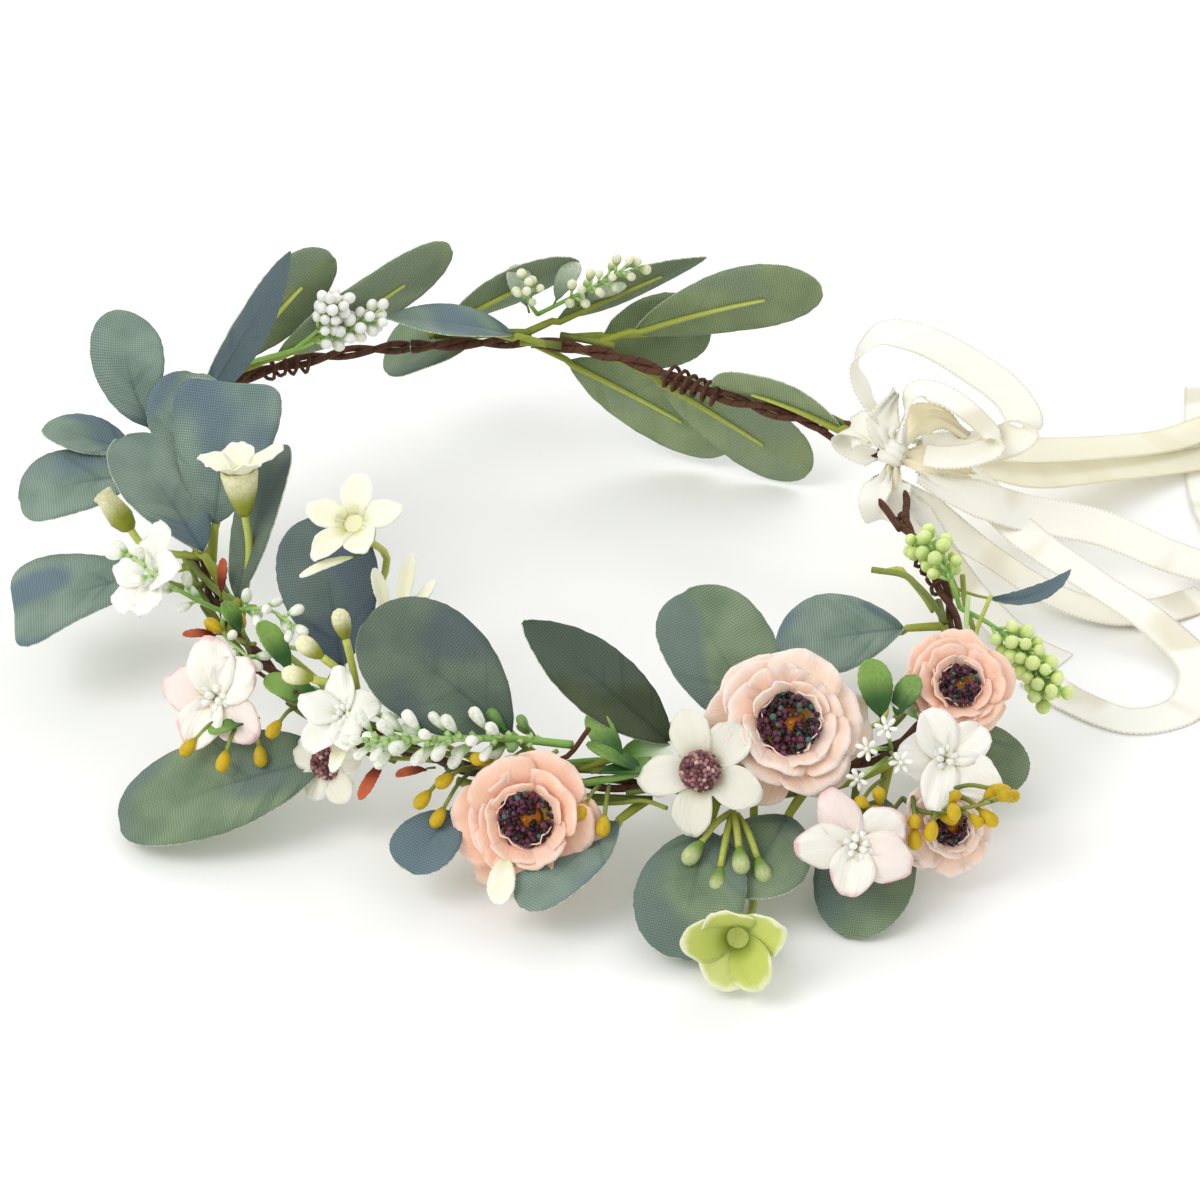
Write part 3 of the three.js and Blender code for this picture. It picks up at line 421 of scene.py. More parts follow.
def leaf_cloth(name, light, dark, tint, shade):
    """Printed leaf cloth: crossing threads, soft dark streaks beside the rib, a painted shadow along the
    rib and a darker root.
    """
    f = Finish(name, 0.85, sheen=0.1)
    cloth = f.attribute("cloth")
    across, along, number = f.split(cloth)
    share = f.split(f.attribute("place"))[0]
    base = f.mix(f.ease(f.noise(cloth, 0.07, 2.0), 0.36, 0.64), light, dark)
    patches = f.noise(f.stretched(cloth, 0.045, 0.03, 23.0), 1.0, 1.0)
    base = f.mix(f.ease(patches, 0.48, 0.6, 0.0, 0.8), base, tint)
    beside_rib = f.math("ABSOLUTE", across)
    slant = f.math("MULTIPLY_ADD", beside_rib, -0.8, along)
    streak_place = f.add("ShaderNodeCombineXYZ")
    f.put(streak_place, "X", f.math("MULTIPLY", slant, 0.34))
    f.put(streak_place, "Y", f.math("MULTIPLY", across, 0.07))
    f.put(streak_place, "Z", f.math("MULTIPLY", number, 40.0))
    streaks = f.ease(f.noise(streak_place.outputs[0], 1.0, 1.0), 0.52, 0.72)
    base = f.mix(f.math("MULTIPLY", streaks, f.ease(share, 0.8, 0.1, 0.0, 0.45)), base, shade)
    # painted shade: a dark line down the rib, strongest towards the root, stands for the shadow in the
    # rib's crease
    rib = f.math("MULTIPLY", f.ease(beside_rib, 0.9, 0.0), f.ease(share, 0.8, 0.2, 0.0, 0.4))
    base = f.mix(rib, base, shade)
    base = f.mix(f.ease(share, 0.25, 0.0, 0.0, 0.4), base, shade)
    warp = f.waves(cloth, WEAVE, "X", 1.2)
    weft = f.waves(cloth, WEAVE * 1.15, "Y", 1.2)
    threads = f.math("MAXIMUM", f.math("MULTIPLY", warp, 0.9), weft)
    base = f.shaded(base, f.ease(threads, 0.2, 1.0, 0.62, 1.16))
    f.colour(base)
    f.bump(threads, 0.6, 0.00018)
    return f.material


def petal_cloth(name, heart, body, edge, through=0.25, pleat=0.5, edge_at=0.72):
    """Pressed petal cloth: a heart colour, a body colour, a tinted edge and fine pleats."""
    f = Finish(name, 0.7, sheen=0.1, through=through)
    cloth = f.attribute("cloth")
    number = f.split(cloth)[2]
    share, sideways = f.split(f.attribute("place"))[:2]
    base = f.mix(f.ease(share, 0.0, 0.42), heart, body)
    rim = f.math("MAXIMUM", share, f.math("MULTIPLY", f.math("ABSOLUTE", sideways), 0.86))
    patchy = f.math("ADD", rim, f.math("MULTIPLY_ADD", f.noise(cloth, 0.35), 0.3, -0.15))
    base = f.mix(f.ease(patchy, edge_at, 1.02, 0.0, 0.95), base, edge)
    base = f.mix(f.ease(number, 0.55, 1.0, 0.0, 0.35), base, edge)
    f.colour(base)
    pleats = f.noise(f.stretched(cloth, 2.6, 0.22, 1.0), 1.0, 3.0)
    threads = f.math("MULTIPLY", f.noise(cloth, 4.0, 3.0), 0.25)
    f.bump(f.math("ADD", pleats, threads), pleat, 0.0006)
    return f.material


def moulded(name, root, tip, rough=0.5, through=0.1, grain=0.12, start=0.25, end=0.75):
    """Soft moulded plastic, coloured from its root to its tip, with mould marks."""
    f = Finish(name, rough, through=through)
    cloth = f.attribute("cloth")
    share = f.split(f.attribute("place"))[0]
    number = f.split(cloth)[2]
    base = f.mix(f.ease(share, start, end), root, tip)
    specks = f.noise(cloth, 1.3, 3.0)
    dull = f.mix(0.35, base, [0.62 * c for c in linear(root)[:3]] + [1.0])
    base = f.mix(f.ease(f.math("MULTIPLY_ADD", number, 0.3, specks), 0.45, 0.95), base, dull)
    f.colour(base)
    f.bump(specks, grain, 0.0005)
    return f.material


def grains(name, dark, middle, pale_and_glint, rough=0.45):
    """A crowd of small grains whose colour changes from grain to grain; on the beads the lighter colours
    are painted glints.
    """
    f = Finish(name, rough, coat=0.2)
    cloth = f.attribute("cloth")
    number = f.split(cloth)[2]
    # on the beads, the pink middle colour and the green last colour are painted glints of reflected light
    # on dark purple; on the daisy they are paler grains
    base = f.mix(f.ease(number, 0.3, 0.75), dark, middle)
    base = f.mix(f.ease(number, 0.84, 0.94), base, pale_and_glint)
    f.colour(f.mix(f.ease(f.noise(cloth, 2.5), 0.5, 0.8, 0.0, 0.4), base, dark))
    f.bump(f.noise(cloth, 3.0, 3.0), 0.4, 0.0004)
    return f.material


def paper(name, light, dark):
    """Brown paper tape wound on wire: slanting turns with dark gaps."""
    f = Finish(name, 0.78)
    cloth = f.attribute("cloth")
    across, along = f.split(cloth)[:2]
    slant = f.math("MULTIPLY_ADD", across, 0.6, along)
    turns = f.math("SINE", f.math("MULTIPLY", slant, 1.5))
    fibres = f.noise(cloth, 2.2, 4.0)
    base = f.mix(f.ease(turns, -1.0, -0.6, 0.55, 1.0), dark, light)
    f.colour(f.mix(f.ease(fibres, 0.4, 0.7, 0.0, 0.6), base, dark))
    f.bump(f.math("MULTIPLY_ADD", turns, 0.3, fibres), 0.5, 0.0003)
    return f.material


def satin(name, light, shadow, alpha=1.0, patches=0.6):
    """Satin ribbon: fine weft lines, soft beige patches of painted reflection and a dotted woven edge."""
    f = Finish(name, 0.34, sheen=0.3, through=0.2, alpha=alpha)
    cloth = f.attribute("cloth")
    along = f.split(cloth)[1]
    sideways = f.math("ABSOLUTE", f.split(f.attribute("place"))[1])
    # painted reflection: soft beige patches along the strip stand for darker surroundings mirrored in the
    # satin's sheen
    painted_reflection = f.noise(f.stretched(cloth, 0.03, 0.055, 3.0), 1.0, 1.0)
    base = f.mix(f.ease(painted_reflection, 0.55, 0.68, 0.0, patches), light, shadow)
    selvedge = f.ease(sideways, 0.86, 0.93)
    dots = f.math("SINE", f.math("MULTIPLY", along, 2 * math.pi / PICOT))
    base = f.mix(f.math("MULTIPLY", selvedge, f.ease(dots, -0.3, 0.6, 0.05, 0.4)), base, shadow)
    weft = f.waves(cloth, 0.3, "Y", 0.4)
    f.colour(f.shaded(base, f.ease(weft, 0.0, 1.0, 0.965, 1.0)))
    stitches = f.math("MULTIPLY", selvedge, dots)
    f.bump(f.math("ADD", f.math("MULTIPLY", weft, 0.4), stitches), 0.35, 0.0002)
    return f.material


MATERIALS = {
    "sage": leaf_cloth("leaf_sage", (132, 150, 120), (108, 130, 102), (104, 122, 118), (62, 84, 74)),
    "blue": leaf_cloth("leaf_blue", (134, 154, 140), (114, 136, 122), (98, 118, 132), (62, 82, 88)),
    "slate": leaf_cloth("leaf_slate", (106, 122, 118), (94, 110, 108), (86, 100, 114), (54, 68, 80)),
    "dark": leaf_cloth("leaf_dark", (106, 122, 104), (90, 106, 92), (86, 100, 102), (52, 66, 60)),
    "deep": leaf_cloth("leaf_deep", (76, 88, 60), (60, 72, 48), (78, 92, 80), (34, 46, 30)),
    "under": leaf_cloth(
        "leaf_underside", (148, 164, 122), (130, 148, 108), (134, 150, 126), (112, 132, 86)
    ),
    "fray": leaf_cloth("leaf_cut_edge", (190, 200, 180), (150, 166, 142), (204, 208, 188), (140, 158, 130)),
    "fresh": moulded("leaf_fresh", (48, 92, 40), (132, 168, 84), rough=0.42, grain=0.3),
    "variegated": moulded(
        "leaf_variegated", (112, 164, 72), (238, 242, 230), rough=0.45, start=0.1, end=0.5
    ),
    "silver": moulded("leaf_silver", (112, 134, 106), (196, 206, 184), rough=0.5, start=0.0, end=1.0),
    "russet": moulded("leaf_russet", (120, 40, 26), (196, 96, 62)),
    "stalk": moulded("stalk_lime", (146, 156, 56), (196, 204, 104), start=0.0, end=1.0),
    "stem": moulded("stem_green", (96, 108, 44), (146, 158, 70), start=0.0, end=1.0),
    "wire": paper("paper_brown", (98, 62, 44), (42, 24, 16)),
    "peach": petal_cloth("petal_peach", (250, 174, 134), (255, 216, 192), (255, 236, 224)),
    "coral": petal_cloth("petal_coral", (248, 148, 110), (255, 200, 172), (255, 220, 202)),
    "cream": petal_cloth("petal_cream", (232, 232, 186), (252, 249, 236), (254, 250, 244)),
    "blush": petal_cloth("petal_blush", (234, 234, 192), (253, 247, 234), (248, 192, 194), edge_at=0.88),
    "daisy": petal_cloth(
        "petal_grey_cream", (196, 192, 150), (236, 232, 214), (242, 238, 226), edge_at=0.9
    ),
    "bell": moulded("bell_cream", (150, 156, 44), (240, 236, 196), through=0.25, start=0.2, end=0.75),
    "lime_bell": moulded("bell_lime", (140, 152, 44), (196, 206, 110), through=0.25, start=0.3, end=1.0),
    "bell_lobe": petal_cloth(
        "bell_lobe_cream", (222, 222, 150), (245, 242, 212), (248, 246, 230), 0.3, 0.25
    ),
    "lime_bell_lobe": petal_cloth(
        "bell_lobe_lime", (146, 158, 50), (188, 200, 100), (236, 238, 206), 0.3, 0.25, 0.8
    ),
    "bud": moulded("bud_white", (140, 184, 96), (247, 248, 238), through=0.2, start=0.12, end=0.5),
    "green_bud": moulded("bud_green", (70, 112, 50), (126, 160, 92), through=0.1),
    "pale_stem": moulded("stem_pale", (140, 186, 92), (190, 216, 150), through=0.15),
    "pale_bud": moulded("bud_pale_green", (120, 150, 66), (196, 206, 150), through=0.15),
    "berry": moulded("berry_mustard", (150, 138, 30), (206, 172, 24), rough=0.4, start=0.0, end=0.4),
    "lime": moulded("lime_foam", (196, 220, 124), (226, 240, 168), rough=0.5, through=0.3),
    "tuft": moulded("stamen_white", (240, 240, 220), (252, 252, 250), through=0.15),
    "seeds": moulded("seed_cream", (160, 182, 110), (238, 238, 208), through=0.1),
    # painted highlight: the pink and green of some beads are glints of reflected light
    "beads": grains("bead_purple", (32, 14, 22), (112, 52, 76), (64, 112, 98)),
    "amber": moulded("amber_heart", (130, 66, 14), (206, 128, 26), rough=0.4),
    "mauve": grains("grain_mauve", (104, 58, 62), (168, 120, 120), (214, 178, 170), 0.6),
    "calyx": moulded("calyx_yellow", (190, 164, 50), (220, 192, 84), start=0.0, end=1.0),
    # each satin's second colour paints its reflection patches and darkens the dots of its woven edge
    "satin": satin("satin_ivory", (255, 252, 238), (214, 202, 170)),
    # painted light: the undersides of the knot's folds are a warmer yellow ivory, the colour of light
    # shining through the satin
    "fold": satin("satin_fold_lit_through", (255, 244, 210), (252, 228, 168), patches=0.5),
    "sheer": satin("satin_sheer", (255, 250, 220), (238, 226, 178), alpha=0.66, patches=0.3),
}


# ---- Leaves ----

# How fast a blade widens from its root and closes at its tip.
BLADES = {"oval": (0.78, 0.5), "round": (0.62, 0.46), "narrow": (0.8, 0.85), "square": (0.62, 0.16)}
BLADE_ROWS, BLADE_COLUMNS = 34, 13


def leaf_spine(leaf, start, count):
    """Points, sides and tops at even steps along a leaf, stalk and blade together."""
    chord, chord_side, chord_top = framed(direction(leaf["heading"], leaf["rise"]), leaf.get("roll", 0))
    bend, sweep, long = leaf.get("bend", 20), leaf.get("sweep", 0), leaf["long"]
    points, sides, tops = [np.array(start, float)], [], []
    for i in range(count + 1):
        share = i / count - 0.5
        forward = turned(turned(chord, chord_side, -bend * share), chord_top, sweep * share)
        side = turned(chord_side, chord_top, sweep * share)
        sides.append(side)
        tops.append(np.cross(side, forward))
        if i < count:
            points.append(points[-1] + forward * long / count)
    return np.array(points), np.array(sides), np.array(tops)


def add_leaf(shape, leaf, start, look):
    long, wide, stalk = leaf["long"], leaf["wide"], leaf.get("stalk", 9)
    steps = 60
    points, sides, tops = leaf_spine(leaf, start, steps)
    far = np.linspace(0, long, steps + 1)

    def sample(values, where):
        return np.stack([np.interp(where, far, values[:, k]) for k in range(3)], 1)

    p, q = BLADES[leaf.get("shape", "oval")]
    t = np.linspace(0, 1, BLADE_ROWS)
    share = 0.004 + 0.992 * (1 - (1 - t) ** 1.7)  # rows lie closer together towards the tip
    widest = (p / (p + q)) ** p * (q / (p + q)) ** q
    half = share**p * (1 - share) ** q / widest * wide / 2
    uneven = np.array([chance.uniform(-0.12, 0.12) for _ in range(2 * BLADE_ROWS)]).reshape(2, -1)
    where = stalk + share * (long - stalk)
    middle, side, top = sample(points, where), sample(sides, where), sample(tops, where)
    c = np.linspace(-1, 1, BLADE_COLUMNS)[None]
    edge = np.where(c < 0, uneven[0][:, None], uneven[1][:, None]) * np.abs(c) ** 4
    across = c * half[:, None] + np.sign(c) * edge
    phase = chance.uniform(0, 6.28), chance.uniform(0, 6.28)
    waves = np.where(
        c < 0,
        np.sin(share[:, None] * 7.5 + phase[0]),
        np.sin(share[:, None] * 6.1 + phase[1]),
    ) * np.abs(c) ** 2.2 * 0.05 * half.max()
    twist = chance.uniform(-0.05, 0.05) * c * half[:, None] * (share[:, None] - 0.3)
    cup = leaf.get("cup", 0.12) * np.abs(across)
    crease = -CREASE * np.exp(-((across / 1.1) ** 2)) * (1 - share[:, None])
    height = cup + waves + twist + crease
    grid = middle[:, None] + side[:, None] * across[..., None] + top[:, None] * height[..., None]
    looks = leaf.get("looks", (leaf.get("look", look), "under", "fray"))
    shape.sheet(grid, LEAF_THICK, looks, where[:, None] * np.ones(BLADE_COLUMNS), across,
                share[:, None] * np.ones(BLADE_COLUMNS))
    rib_end = stalk + leaf.get("rib", 0.7) * (long - stalk)
    rib_far = np.linspace(0, rib_end, 26)
    thick = leaf.get("petiole", RIB)
    rib_share = np.clip((rib_far - stalk) / (long - stalk), 0, 1)
    below = CREASE * (1 - rib_share) + 0.7 * thick * (1 - 0.6 * rib_far / rib_end) + LEAF_THICK / 2
    drop = np.where(rib_far > stalk, below, 0.15)
    spine = sample(points, rib_far) - sample(tops, rib_far) * drop[:, None]
    shape.rod(spine, thick, leaf.get("rib_look", "stalk"), thin=thick * 0.7, taper=0.4)


def add_stem(shape, span, around):
    low, high = span
    steps = max(3, int(abs(high - low) / 2.5))
    path = [beside(low + (high - low) * i / steps, around) for i in range(steps + 1)]
    shape.rod(path, STEM, "stem")


def spray(name, plan):
    """A length of stem along the band and the leaves that spring from it."""
    shape = Shape()
    add_stem(shape, plan["span"], plan["around"])
    for leaf in plan["leaves"]:
        add_leaf(shape, leaf, beside(leaf["at"], plan["around"]), plan["look"])
    return shape.object(name, MATERIALS)


# ---- Flowers ----


def opened(flower):
    """What every flower starts from: an empty shape, its centre, its three axes and its size."""
    return Shape(), np.array(flower["head"], float), framed(direction(*flower["faces"])), flower["size"]


def sized(s, outline):
    """A turned outline given as (radius, height) shares of the flower's size."""
    return [(s * r, s * h) for r, h in outline]


def add_petal(shape, head, axes, turn, p, looks):
    """One petal. lift is its rise from the flower's flat and curl how much its end turns over."""
    forward, side = axes[:2]
    outward = turned(side, forward, turn)
    across = np.cross(outward, forward)
    rows, columns = p.get("rows", 11), 11
    uneven = p.get("uneven", 1)
    long = p["long"] * (1 + uneven * chance.uniform(-0.08, 0.06))
    wide = p["wide"] * (1 + uneven * chance.uniform(-0.06, 0.06))
    lift = p["lift"] + uneven * chance.uniform(-5, 5)
    curl = p["curl"] + uneven * chance.uniform(-8, 8)
    point = head + outward * p["inner"] + forward * p.get("height", 0)
    s = np.linspace(0, 1, rows)
    slope = np.radians(lift + curl * (s - 0.5))
    way = outward * np.cos(slope)[:, None] + forward * np.sin(slope)[:, None]
    over = forward * np.cos(slope)[:, None] - outward * np.sin(slope)[:, None]
    step = np.vstack([np.zeros(3), (way[1:] + way[:-1]) / 2 / (rows - 1)])
    spine = np.cumsum(step, axis=0)
    c = np.linspace(-1, 1, columns)[None]
    reach = 1 - p.get("round", 0.3) * np.abs(c) ** 2.2 - p.get("notch", 0.05) * np.exp(-((c / 0.22) ** 2))
    waist = p.get("waist", 0.4)
    half = wide / 2 * (waist + (1 - waist) * np.sin(s * 1.9) ** 0.9)
    phase = chance.uniform(0, 6.28)
    ruffle = np.sin(c * p.get("waves", 5.0) + phase) + 0.6 * np.sin(c * 9 + 2 * phase + 3 * s[:, None])
    ruffle = ruffle * p.get("ruffle", 0.05) * long * s[:, None] ** 2
    cup = p.get("cup", 0.16) * wide / 2 * c**2
    grid = (
        point
        + spine[:, None] * (long * reach)[..., None]
        + across * (c * half[:, None])[..., None]
        + over[:, None] * (ruffle + cup)[..., None]
    )
    sizes = s[:, None] * long * np.ones(columns)
    shape.sheet(grid, PETAL_THICK, looks, sizes, c * half[:, None])


def add_petals(shape, head, axes, count, turn, petal, looks):
    """A ring of petals, none quite at its even place."""
    jitter = 5 * petal.get("uneven", 1)
    for i in range(count):
        add_petal(shape, head, axes, turn + 360 * i / count + chance.uniform(-jitter, jitter), petal, looks)


def add_flower_stem(shape, flower, axes, depth, look="stem"):
    head, forward = np.array(flower["head"], float), axes[0]
    start = beside(flower["at"], flower.get("around", 60))
    end = head - forward * depth
    before = end - forward * 0.35 * np.linalg.norm(end - start)
    shape.rod(smooth([start, before, end], 16), STEM * 0.9, look)


def scaled(size, **shares):
    """Petal sizes given as shares of the flower's size; angles and counts stay as they are."""
    lengths = ("inner", "long", "wide", "height")
    return {key: value * size if key in lengths else value for key, value in shares.items()}


def peach_flower(name, flower):
    shape, head, axes, s = opened(flower)
    add_flower_stem(shape, flower, axes, 0.2 * s)
    calyx = [(0.05, -0.3), (0.3, -0.24), (0.44, -0.12), (0.3, -0.04), (0.05, -0.03)]
    shape.lathe(head, axes[0], sized(s, calyx), "calyx", 16)
    looks = (flower["look"],) * 3
    rings = [  # petals, turn of the first, inner end, length, width, lift, curl, height, bluntness, ruffle
        (6, 0, 0.3, 0.74, 1.0, -2, -30, -0.17, 0.4, 0.05),
        (5, 26, 0.3, 0.64, 0.98, 18, -40, -0.14, 0.38, 0.06),
        (5, 60, 0.3, 0.52, 0.84, 36, -44, -0.11, 0.36, 0.07),
        (5, 12, 0.3, 0.4, 0.68, 52, -40, -0.1, 0.34, 0.08),
        (4, 40, 0.29, 0.26, 0.52, 66, 10, -0.08, 0.34, 0.09),
    ]
    keys = ("inner", "long", "wide", "lift", "curl", "height", "round", "ruffle")
    for count, turn, *values in rings:
        petal = scaled(s, notch=0.05, waves=5.0, cup=0.2, uneven=2.6, **dict(zip(keys, values)))
        add_petals(shape, head, axes, count, turn, petal, looks)
    return shape.object(name, MATERIALS)


BEADS = 200
GAP_AT, GAP_HALF = 200, 22  # degrees: where the ring of beads lies open, and half the width of the gap


def spread_points(count, low, high):
    """Even spots over a dome, as (share of radius, angle, height share)."""
    for i in range(count):
        level = low + (high - low) * (i + 0.5) / count
        yield math.sqrt(max(0.0, 1 - level * level)), GOLDEN_TURN * i, level


def peach_centre(name, flower):
    shape, head, axes, s = opened(flower)
    forward, side = axes[:2]
    heart = [(0.05, -0.03), (0.24, -0.02), (0.2, 0.05), (0.04, 0.09)]
    shape.lathe(head, forward, sized(s, heart), "amber", 16)
    for i in range(BEADS):
        turn = GOLDEN_TURN * i
        out = chance.random() ** 0.7
        if abs((turn - GAP_AT) % 360 - 180) > 180 - GAP_HALF and out < 0.8:
            continue
        ridge = 0.13 * math.sin(math.pi * (0.15 + 0.8 * out))
        away = turned(side, forward, turn)
        spot = head + away * s * (0.1 + 0.25 * out) + forward * s * (ridge + chance.uniform(-0.03, 0.03))
        way = unit(forward + away * (out - 0.4) + side * chance.uniform(-0.5, 0.5))
        shape.bead(spot, way, s * chance.uniform(0.034, 0.05), s * chance.uniform(0.07, 0.1), "beads", 6, 4)
    shape.rod([head, head + forward * 0.16 * s], 0.035 * s, "amber", taper=0.5, sides=6)
    return shape.object(name, MATERIALS)


def daisy_petals(name, flower):
    shape, head, axes, s = opened(flower)
    add_flower_stem(shape, flower, axes, 0.2 * s)
    calyx = [(0.06, -0.3), (0.3, -0.2), (0.34, -0.1), (0.1, -0.08)]
    shape.lathe(head, axes[0], sized(s, calyx), "calyx", 16)
    petal = scaled(s, inner=0.2, long=0.98, wide=0.74, lift=0, curl=-52, height=-0.12,
                   round=0.4, notch=0.0, waves=3, ruffle=0.04, cup=0.34, uneven=1.6)
    add_petals(shape, head, axes, 5, 20, petal, ("daisy",) * 3)
    return shape.object(name, MATERIALS)


def add_dome(shape, head, axes, radius, height, base, count, grain):
    forward, side = axes[:2]
    profile = [(0.8, 0), (1, 0.35), (0.82, 0.7), (0.3, 0.96)]
    profile = [(0.9 * radius * r, base + 0.92 * height * h) for r, h in profile]
    shape.lathe(head, forward, profile, "mauve", 14)
    for share, turn, level in spread_points(count, 0.0, 0.98):
        away = turned(side, forward, turn)
        spot = head + away * radius * share * 0.9 + forward * (base + height * (0.15 + 0.8 * level))
        shape.bead(spot, unit(away * share + forward * (level + 0.2)), grain, grain * 1.9, "mauve", 6, 5)


def daisy_centre(name, flower):
    shape, head, axes, s = opened(flower)
    add_dome(shape, head, axes, 0.3 * s, 0.5 * s, 0.3 - 0.06 * s, 110, 0.05 * s)
    return shape.object(name, MATERIALS)


def small_daisy(name, flower):
    shape, head, axes, s = opened(flower)
    add_flower_stem(shape, flower, axes, 0.1 * s)
    add_dome(shape, head, axes, 0.32 * s, 0.5 * s, -0.08 * s, 80, 0.06 * s)
    petal = scaled(s, inner=0.16, long=0.86, wide=0.74, lift=4, curl=-40, height=0,
                   round=0.32, notch=0.02, waves=4, cup=0.25)
    add_petals(shape, head, axes, 5, 0, petal, ("daisy",) * 3)
    return shape.object(name, MATERIALS)


def blossom(name, flower):
    shape, head, axes, s = opened(flower)
    forward, side = axes[:2]
    add_flower_stem(shape, flower, axes, 0.05 * s)
    eye = [(0.05, -0.12), (0.2, -0.08), (0.22, 0), (0.1, 0.04), (0.03, 0.05)]
    shape.lathe(head, forward, sized(s, eye), "bell", 12)
    petal = scaled(s, inner=0.06, long=1.06, wide=0.84, lift=18, curl=-48, height=0, round=0.42, notch=0.02,
                   waist=0.16, waves=4, ruffle=0.07, cup=0.34, uneven=2.2)
    add_petals(shape, head, axes, 5, 0, petal, (flower["look"],) * 3)
    stamens = 11
    for i in range(stamens):
        away = turned(side, forward, GOLDEN_TURN * i)
        spread = 0.16 * math.sqrt((i + 0.5) / stamens)
        way = unit(away * spread * 6 + forward * 0.8 + side * chance.uniform(-0.3, 0.3))
        spot = head + away * spread * s + forward * 0.05 * s
        tip = spot + way * 0.17 * s + away * 0.04 * s
        shape.rod([spot, spot + way * 0.1 * s, tip], 0.058 * s, "tuft", taper=1.2)
    return shape.object(name, MATERIALS)


def bell(name, flower):
    shape, head, axes, s = opened(flower)
    look = flower["look"]
    add_flower_stem(shape, flower, axes, 0.85 * s, "stalk")
    cup = [(0.1, -0.95), (0.16, -0.86), (0.25, -0.66), (0.34, -0.36), (0.39, -0.06), (0.38, 0.05),
           (0.32, 0.02), (0.06, -0.12)]
    shape.lathe(head, axes[0], sized(s, cup), look, 20, 5, 0.04)
    petal = scaled(s, inner=0.2, long=0.9, wide=flower.get("lobe", 0.66), lift=flower["open"],
                   curl=flower["curl"], height=-0.06, notch=0.0, waist=0.5, round=0.42, cup=0.3,
                   waves=3, uneven=2)
    add_petals(shape, head, axes, 5, 0, petal, (look + "_lobe",) * 3)
    return shape.object(name, MATERIALS)


def bud(name, flower):
    shape, head, axes, s = opened(flower)
    add_flower_stem(shape, flower, axes, 0.6 * s, "stalk")
    cup = [(0.12, -0.95), (0.34, -0.75), (0.5, -0.3), (0.46, 0.2), (0.38, 0.7), (0.42, 0.95),
           (0.2, 0.86), (0.05, 0.7)]
    shape.lathe(head, axes[0], sized(s, cup), "bell", 18, 5, 0.08)
    return shape.object(name, MATERIALS)


# ---- Sprigs ----


def add_twig(shape, twig, plan):
    """A stem with buds set round it in a spiral."""
    steps = 40
    points = smooth(twig["path"], steps)
    thick, stem_look, tip = plan.get("stem", 0.6), plan["stem_look"], plan.get("tip", 0.3)
    way = forwards(points)
    sides = carried_sides(way)
    shape.rod(points, thick, stem_look, taper=0.6, sides=6)
    bare, count = twig.get("bare", 0.15), twig["beads"]
    for i in range(count):
        share = bare + (1 - bare) * (i + 0.5) / count
        k = min(steps, round(share * steps))
        around = turned(sides[k], way[k], GOLDEN_TURN * i)
        out = unit(way[k] * plan.get("lean", 0.9) + around)
        stalk = plan.get("stalk", 1.0)
        start, knee = points[k], points[k] + out * stalk
        shape.rod([start, start + out * stalk * 0.5, knee], thick * 0.7, stem_look, sides=6)
        look = plan["early_look"] if share < plan.get("early", 0) else plan["look"]
        size = chance.uniform(0.85, 1.12)
        shape.bead(knee - out * 0.3, out, plan["wide"] * size, plan["long"] * size, look, 9, 8, tip)
    end = way[-1]
    shape.bead(points[-1] - end * 0.3, end, plan["wide"], plan["long"], plan["look"], 9, 8, tip)


def sprig(name, plan):
    """Twigs full of buds, as one piece."""
    shape = Shape()
    for twig in plan["twigs"]:
        add_twig(shape, twig, plan)
    return shape.object(name, MATERIALS)


# ---- Small greenery along the front ----


def tangle(name):
    """Stems of the flowers and leaves, laid along the front of the band and bound in with it."""
    shape = Shape()
    for start in range(FRONT[0], FRONT[1], 5):
        low = start + chance.uniform(-4, 4)
        reach, around = chance.uniform(2.4, 5.5), chance.uniform(-60, 190)
        points = [beside(low + 3.5 * i, around + 14 * i, reach + 0.5 * i) for i in range(5)]
        away = unit(points[-1] - band_point(low + 14)) * chance.uniform(2, 7)
        look = chance.choice(("stem", "stem", "stalk", "wire", "pale_stem"))
        path = smooth(points + [points[-1] + away + points[-1] - points[-2]], 14)
        shape.rod(path, chance.uniform(0.45, 0.85), look)
    return shape.object(name, MATERIALS)


def stalked(shape, low, high, wide, look, stem_look, stem=0.5):
    """A short curved stalk from low to high that ends in one bud."""
    low, high = np.array(low, float), np.array(high, float)
    middle = (low + high) / 2 + np.array([0, 0, 0.12 * np.linalg.norm(high - low)])
    points = smooth([low, middle, high], 8)
    shape.rod(points, stem, stem_look, sides=6)
    way = unit(points[-1] - points[-2])
    shape.bead(high - way * 0.4, way, wide, 3.4 * wide, look, 10, 8, 0.3)


def buds(name, plan):
    shape = Shape()
    for low, high in plan["stalks"]:
        stalked(shape, low, high, plan["wide"], plan["look"], plan["stem_look"], plan.get("stem", 0.5))
    return shape.object(name, MATERIALS)


def blades(name, group):
    """Small moulded leaves, each from its own spot."""
    shape = Shape()
    for plan in group["leaves"]:
        look = plan.get("look", group["look"])
        leaf = dict(plan, looks=(look,) * 3, rib=0.4, petiole=0.35, rib_look="stem", stalk=2)
        add_leaf(shape, leaf, plan["start"], look)
    return shape.object(name, MATERIALS)


def florets(name, spots):
    """Tiny waxy stars, each a ring of blunt lobes on a pale stem."""
    shape = Shape()
    for low, high in spots:
        low, high = np.array(low, float), np.array(high, float)
        forward, side = framed(unit(high - low))[:2]
        shape.rod([low, (low + high) / 2, high], 0.5, "pale_stem", sides=6)
        for i in range(6):
            away = turned(side, forward, 60 * i)
            shape.bead(high, unit(away + forward * 0.35), 0.6, 2.9, "tuft", 7, 6, 0.4)
        shape.bead(high, forward, 0.6, 1.4, "tuft", 7, 5)
    return shape.object(name, MATERIALS)


# ---- Wire ----


